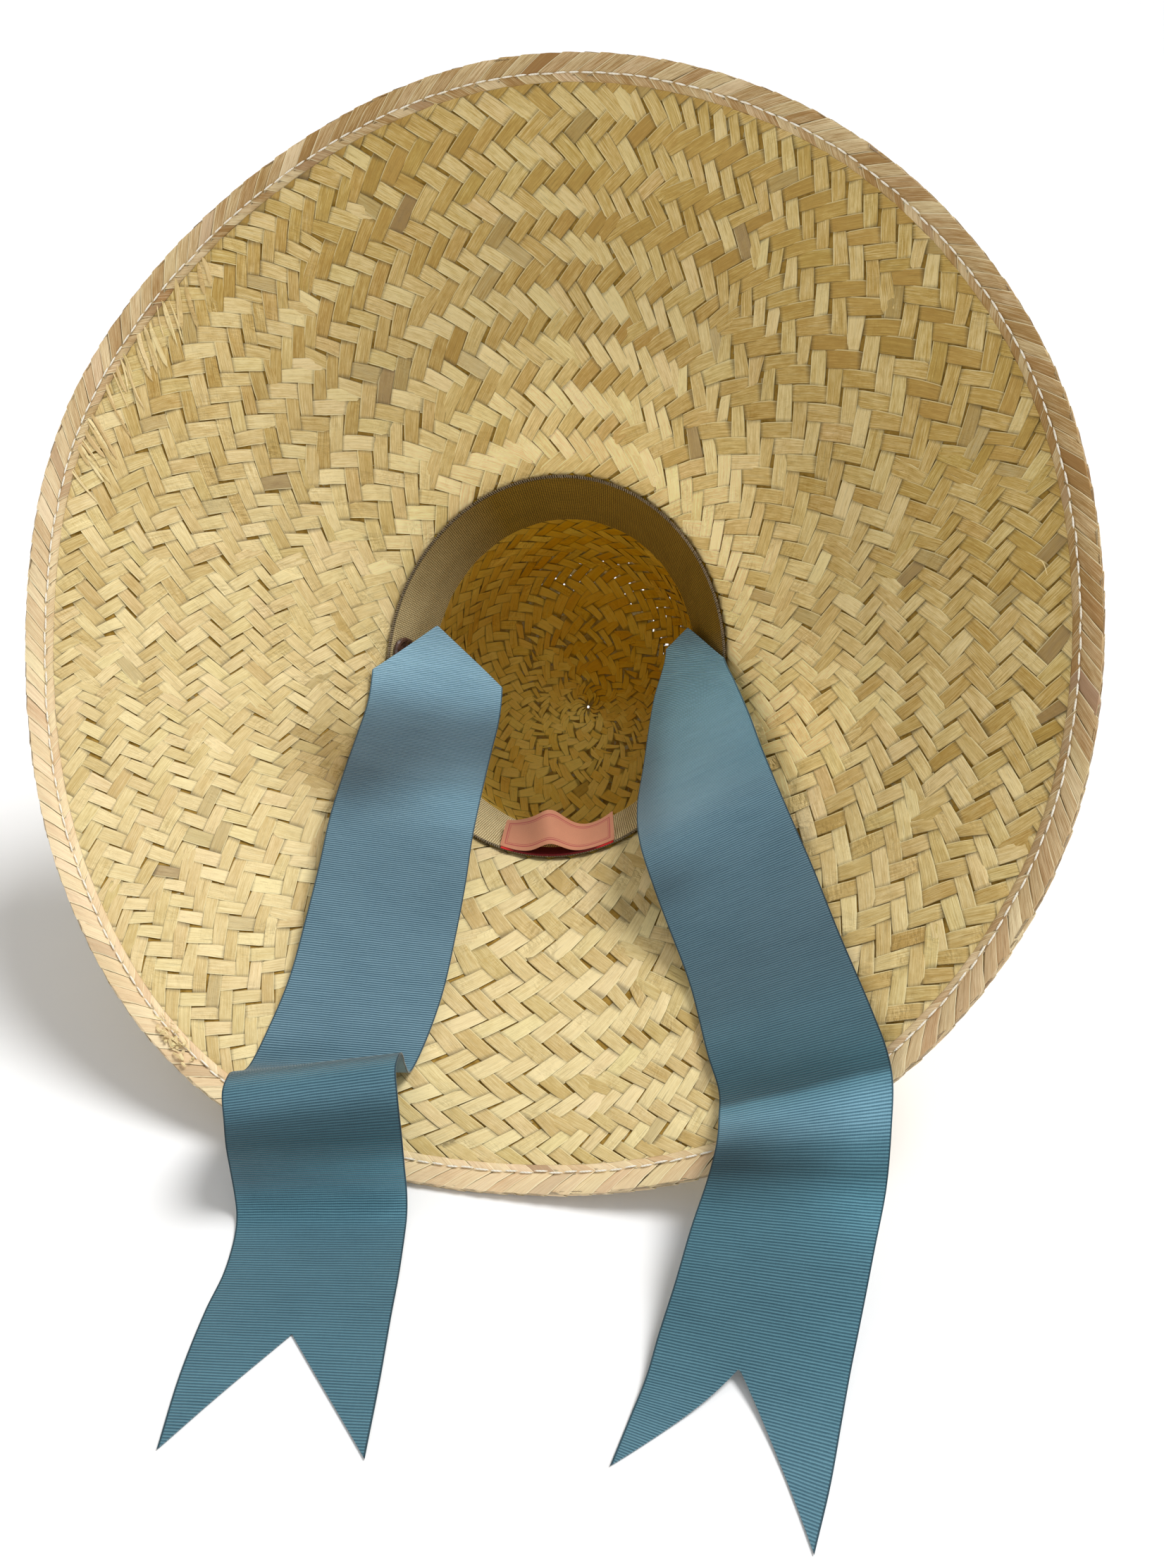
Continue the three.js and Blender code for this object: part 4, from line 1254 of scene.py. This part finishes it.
class SUNHAT_OT_binding(bpy.types.Operator):
    """Adds the folded plait round the rim and its stitches"""

    bl_idname = "sunhat.binding"
    bl_label = "Rim Binding"

    def execute(self, context):
        # The fifth colour is the tint of the plait's painted warm shade.
        plait = straw_material("plait", (0.94, 0.785, 0.515), (0.70, 0.47, 0.265), (0.46, 0.30, 0.17),
                               (0.36, 0.20, 0.12), (0.47, 0.34, 0.155), 0.3)
        total = BINDING_LENGTH[-1]
        rows = ((0.0, 3.5, 0.55), (3.3, 12.4, -1.6), (12.2, total - 3.3, 1.1), (total - 3.5, total, -0.55))
        angles, places = slat_tiles(rows, 51)
        slats = strip_mesh("rim_plait", binding_surface, angles, places, 1, 0.15, 0.42, 0.4, 52, "P", 0.35,
                           extend=0.16, gap=0.0, shingle=0.45)
        finish_piece(slats, "plait", plait, "edge_binding")

        fine = np.arange(3000) / 3000 * FULL_TURN
        thread = thread_material("stitch_thread", (1.0, 0.96, 0.85), (0.78, 0.69, 0.52), 5200.0)
        for name, q in (("rim_stitches_inside", 3.35), ("rim_stitches_outside", total - 3.35)):
            line = binding_surface(fine, np.full(3000, q))
            step = np.linalg.norm(np.roll(line, -1, 0) - line, axis=1)
            run = np.concatenate([[0], np.cumsum(step)])
            count = int(run[-1] / (context.scene.sunhat_binding.stitch_pitch / MM))
            rng = np.random.default_rng(61)
            at = np.interp((np.arange(count) + 0.5) / count * run[-1], run, np.append(fine, FULL_TURN))
            qq = q + rng.normal(0, 0.12, count)
            points, normal = surface_frame(binding_surface, at, qq, 0.01, 0.3)
            tip = binding_surface(at + 0.006, qq + rng.normal(0, 0.05, count))
            ahead = unit(tip - binding_surface(at - 0.006, qq))
            side = np.cross(normal, ahead)
            verts, loops, sizes = capsules(points + normal * 0.95, ahead, side,
                                           4.9 + rng.normal(0, 0.3, count), np.full(count, 0.37),
                                           np.full(count, 0.85), 6, 8)
            stitches = make_mesh(name, hat_to_row(verts), loops, sizes, 60)
            finish_piece(stitches, "plait", thread)
        return {"FINISHED"}


class SUNHAT_OT_loose_straw(bpy.types.Operator):
    """Adds the split strip ends, the broken straw at the plait's joint and a loose curl"""

    bl_idname = "sunhat.loose_straw"
    bl_label = "Loose Straw"

    def execute(self, context):
        rng = np.random.default_rng(91)
        pale = context.scene.sunhat_straw.pale[:]
        # The fifth colour is the tint of the painted warm shade.
        splinter = straw_material("straw_splinter", pale, (0.60, 0.43, 0.20), (0.5, 0.36, 0.16),
                                  (0.38, 0.22, 0.1), (0.95, 0.88, 0.72))
        # Split ends beside the binding: along the strips, a little apart, their outer tips free.
        count = 40
        start = np.radians(rng.uniform(128, 160, count))
        share = rng.uniform(0.925, 0.965, count)
        length = rng.uniform(0.05, 0.11, count)
        t = np.linspace(0, 1, 9)
        fan = rng.normal(0, 0.008, count)
        bend = rng.normal(0, 0.003, count)
        angle = start[:, None] + (0.055 * length / 0.1 + fan)[:, None] * t + bend[:, None] * np.sin(np.pi * t)
        m = share[:, None] - length[:, None] * t
        height = 1.15 + (0.1 + 0.7 * rng.uniform(0, 1, count) ** 2)[:, None] * (1 - t) ** 2
        width = rng.uniform(0.5, 2.2, count)
        loose_strands("split_strip_ends", angle, m, height, width, splinter, 92)

        # Broken straw where the plait's ends meet: short pieces pointing all ways.
        count = 46
        start = np.radians(rng.normal(232.5, 1.6, count))
        turn = rng.normal(0.6, 0.9, count)
        reach = rng.uniform(2.0, 8.5, count)
        radius = 215.0
        angle = start[:, None] + (reach * np.sin(turn) / radius)[:, None] * (t - 0.3)
        m = (rng.normal(0.972, 0.012, count)[:, None]
             + (reach * np.cos(turn) * 0.35 / 165)[:, None] * (t - 0.3) * rng.choice([-1, 1], count)[:, None])
        low = 2.3 + rng.uniform(0, 1.2, count)[:, None]
        height = low + rng.uniform(-0.4, 1.3, count)[:, None] * np.sin(np.pi * t)
        loose_strands("plait_joint_straw", angle, np.clip(m, 0, 0.995), height, rng.uniform(0.35, 1.5, count),
                      splinter, 93)

        # One thin curl standing off the brim.
        t = np.linspace(0, 1, 25)[None]
        angle = np.radians(2.2) + 0.006 * np.sin(4.4 * t + 0.4) - 0.022 * t
        m = 0.868 + 0.028 * t + 0.008 * np.sin(3.6 * t)
        height = 1.6 + 2.2 * np.sin(np.pi * t)
        loose_strands("loose_curl", angle, m, height, np.array([0.34]), splinter, 94)
        return {"FINISHED"}


class SUNHAT_OT_sweatband(bpy.types.Operator):
    """Adds the ribbed sweatband inside the opening and its overcast edge"""

    bl_idname = "sunhat.sweatband"
    bl_label = "Sweatband"

    def execute(self, context):
        light = context.scene.sunhat_cloth.band[:]
        cloth = cloth_material("band_cloth", light, (0.32, 0.22, 0.09), (0.32, 0.175, 0.018), 1.1)
        angles = np.arange(560) / 560 * FULL_TURN
        depths = np.linspace(0, 1, 14)

        def bulge(a, d):
            return 0.25 * np.sin(np.pi * d) * (1 + 0.3 * np.sin(9 * a)) + 0.12 * np.sin(23 * a + 4 * d)

        a, d, front, back = closed_strip(band_surface, angles, depths, 0.45, -0.45, bulge)
        run = a * (OPENING_HALF_X + OPENING_HALF_Y) / 2
        # Painted shade: the band is browner on its shaded side.
        dim = painted_shade_side(a, -1)
        strip = np.stack([run, d * BAND_WIDTH, dim], -1)
        band = slab("sweatband_cloth", hat_to_row(front), hat_to_row(back), True, {"strip": strip}, smooth=70)
        finish_piece(band, "band_cloth", cloth, "sweatband")

        pitch = context.scene.sunhat_binding.bead_pitch / MM
        count = int(OVERCAST_RUN / pitch)
        rng = np.random.default_rng(71)
        at = (np.arange(count) + rng.normal(0, 0.07, count)) / count * FULL_TURN
        points, normal = surface_frame(band_surface, at, np.full(count, 0.0), 0.01, 0.02)
        normal = facing_in(points, normal)
        down = unit(band_surface(at, np.full(count, 0.05)) - points)
        down = unit(down + 0.28 * np.cross(normal, down))
        side = unit(np.cross(down, normal))
        thread = thread_material("overcast_thread", (0.50, 0.39, 0.24), (0.11, 0.07, 0.035), 9000.0)
        verts, loops, sizes = capsules(points + normal * 0.3 + down * 0.2, down, side,
                                       2.3 + rng.normal(0, 0.25, count), np.full(count, 0.33),
                                       np.full(count, 1.7), 5, 6)
        beads = make_mesh("sweatband_overcast", hat_to_row(verts), loops, sizes, 60)
        finish_piece(beads, "band_cloth", thread)
        return {"FINISHED"}


class SUNHAT_OT_label(bpy.types.Operator):
    """Adds the bare label on the sweatband"""

    bl_idname = "sunhat.label"
    bl_label = "Label"

    def execute(self, context):
        s = Shader("label_cloth")
        x, y, _ = s.parts(s.attribute("strip"))
        weave = (x * (FULL_TURN / 0.32)).sin() * (y * (FULL_TURN / 0.32)).sin() * 0.5 + 0.5
        fuzz = s.noise(s.vector(x * 2.0, y * 2.0), 1.0, 3.0, 0.6)
        drift = s.noise(s.vector(x * 0.1, y * 0.1, 3.0), 1.0, 2.0, 0.5)
        edge_x = LABEL_LENGTH / 2 - (x - LABEL_LENGTH / 2).abs()
        edge_y = LABEL_HEIGHT / 2 - (y - LABEL_HEIGHT / 2).abs()
        border = s.node("ShaderNodeMath", {"operation": "MINIMUM"}, edge_x, edge_y)
        line = 1 - ((border - 2.2).abs().ramp(0.22, 0.38)) * ((border - 3.1).abs().ramp(0.08, 0.2))
        base = context.scene.sunhat_cloth.label[:]
        mottle = (weave * 0.4 + fuzz * 0.4 + drift * 0.3).ramp(0.3, 0.9)
        colour = s.mix(mottle, tuple(c * 0.72 for c in base), base)
        colour = s.mix(line * 0.9, colour, (0.50, 0.09, 0.08))
        material = s.surface(colour, 0.75, s.bump(weave * 0.6 + fuzz * 0.4, 0.4, 0.3 * MM), Sheen_Weight=0.2)

        across, up = np.meshgrid(np.linspace(0, 1, 90), np.linspace(0, 1, 30), indexing="ij")
        front = label_surface(across, up)
        along = np.gradient(front, axis=0)
        rise = np.gradient(front, axis=1)
        half = 0.15 * unit(np.cross(along, rise))
        strip = np.stack([across * LABEL_LENGTH, up * LABEL_HEIGHT, 0 * up], -1)
        label = slab("label_bare", hat_to_row(front + half), hat_to_row(front - half), False,
                     {"strip": strip})
        finish_piece(label, "label_cloth", material, "label")

        red = Shader("label_back_cloth")
        at = red.node("ShaderNodeTexCoord", output=3)
        fuzz = red.noise(at, 900.0, 3.0, 0.6)
        place, _, _ = red.parts(red.attribute("strip"))
        # Painted shadow: dark maroon in the middle, under the label's arch; bright red at the folded ends.
        lit_folded_ends = (place - 27.0).abs().ramp(19.5, 23.5)
        shade = red.mix(fuzz.ramp(0.3, 0.7), (0.10, 0.006, 0.008), (0.16, 0.010, 0.012))
        shade = red.mix(lit_folded_ends, shade, red.mix(fuzz.ramp(0.3, 0.7), (0.55, 0.02, 0.025), (0.80, 0.05, 0.05)))
        back_material = red.surface(shade, 0.8, red.bump(fuzz, 0.4, 0.3 * MM), Specular_IOR_Level=0.2)
        across, depth = np.meshgrid(np.linspace(0.012, 0.988, 60), np.linspace(-0.9, 8.0, 12), indexing="ij")
        angle = LABEL_ANGLE + (across - 0.5) * LABEL_LENGTH / (opening_radius(LABEL_ANGLE) - BAND_INSET)
        share = depth / math.hypot(BAND_LEAN, BAND_WIDTH_ALONG)
        points, out = surface_frame(band_surface, angle, share, 0.01, 0.02)
        out = facing_in(points, out)
        fold = points + out * (0.72 + 0.03 * np.clip(depth, 0, 8)[..., None])
        back = slab("label_back_fold", hat_to_row(fold + out * 0.1), hat_to_row(fold - out * 0.1), False,
                    {"strip": np.stack([across * LABEL_LENGTH, depth, 0 * depth], -1)}, flip=True)
        finish_piece(back, "label_cloth", back_material)
        return {"FINISHED"}


class SUNHAT_OT_buttons(bpy.types.Operator):
    """Gives both buttons a polished horn finish"""

    bl_idname = "sunhat.buttons"
    bl_label = "Buttons"

    def execute(self, context):
        dark = context.scene.sunhat_cloth.button[:]
        horn = horn_material("button_horn", dark, tuple(c * 3.2 for c in dark))
        for name in ("button_left", "button_right"):
            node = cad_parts[name]
            node.data.materials.clear()
            node.data.materials.append(horn)
        return {"FINISHED"}


class SUNHAT_OT_ribbons(bpy.types.Operator):
    """Adds the two wide ribbon ties"""

    bl_idname = "sunhat.ribbons"
    bl_label = "Ribbon Ties"

    def execute(self, context):
        light = context.scene.sunhat_cloth.ribbon_light[:]
        deep = context.scene.sunhat_cloth.ribbon_deep[:]
        for name, tie in (("ribbon_left", LEFT_TIE), ("ribbon_right", RIGHT_TIE)):
            cloth = grosgrain_material(name + "_grosgrain", light, deep, tie)
            points, across, along, length = tie_surface(tie, *RIBBON_GRID)
            normal = unit(np.cross(np.gradient(points, axis=0), np.gradient(points, axis=1)))
            half = normal * RIBBON_HALF_THICKNESS
            points = points + CENTRE_SHIFT
            strip = np.stack([across * RIBBON_WIDTH, along, 0 * along], -1)
            front = (points + half) * MM
            back = (points - half) * MM
            front[..., 2] = np.maximum(front[..., 2], 0.00012)
            back[..., 2] = np.maximum(back[..., 2], 0.00002)
            sheet = slab(name + "_cloth", front, back, False, {"strip": strip}, smooth=60)
            finish_piece(sheet, "ribbon_blue", cloth, name)
            width = RIBBON_WIDTH * MM
            flat = length * MM
            cut = width * (flat - 0.5 * tie["notch"] * MM + 0.5 * tie["point"] * MM)
            long = flat + tie["point"] * MM
            min(cut, width * long)
        return {"FINISHED"}


class SUNHAT_PT_panel(bpy.types.Panel):
    """Lists the hat's settings and pieces"""

    bl_idname = "SUNHAT_PT_panel"
    bl_label = "Sun Hat"
    bl_space_type = "VIEW_3D"
    bl_region_type = "UI"
    bl_category = "Sun Hat"

    def draw(self, context):
        layout = self.layout
        scene = context.scene
        for group, names in (
            (scene.sunhat_straw, ("pale", "deep", "tone", "rise")),
            (scene.sunhat_binding, ("stitch_pitch", "bead_pitch")),
            (scene.sunhat_cloth, ("band", "ribbon_light", "ribbon_deep", "label", "button")),
        ):
            column = layout.column()
            for name in names:
                column.prop(group, name)
        for operator in OPERATORS:
            layout.operator(operator.bl_idname)


SETTINGS = (SunHatStraw, SunHatBinding, SunHatCloth)
OPERATORS = (
    SUNHAT_OT_stage,
    SUNHAT_OT_weave,
    SUNHAT_OT_binding,
    SUNHAT_OT_loose_straw,
    SUNHAT_OT_sweatband,
    SUNHAT_OT_label,
    SUNHAT_OT_buttons,
    SUNHAT_OT_ribbons,
)
CLASSES = (*SETTINGS, *OPERATORS, SUNHAT_PT_panel)


def register():
    for cls in CLASSES:
        bpy.utils.register_class(cls)
    bpy.types.Scene.sunhat_straw = bpy.props.PointerProperty(type=SunHatStraw)
    bpy.types.Scene.sunhat_binding = bpy.props.PointerProperty(type=SunHatBinding)
    bpy.types.Scene.sunhat_cloth = bpy.props.PointerProperty(type=SunHatCloth)


def unregister():
    del bpy.types.Scene.sunhat_cloth
    del bpy.types.Scene.sunhat_binding
    del bpy.types.Scene.sunhat_straw
    for cls in reversed(CLASSES):
        bpy.utils.unregister_class(cls)


def main():
    register()
    bpy.ops.sunhat.stage()
    bpy.ops.sunhat.weave()
    bpy.ops.sunhat.binding()
    bpy.ops.sunhat.loose_straw()
    bpy.ops.sunhat.sweatband()
    bpy.ops.sunhat.label()
    bpy.ops.sunhat.buttons()
    bpy.ops.sunhat.ribbons()


if __name__ == "__main__":
    main()
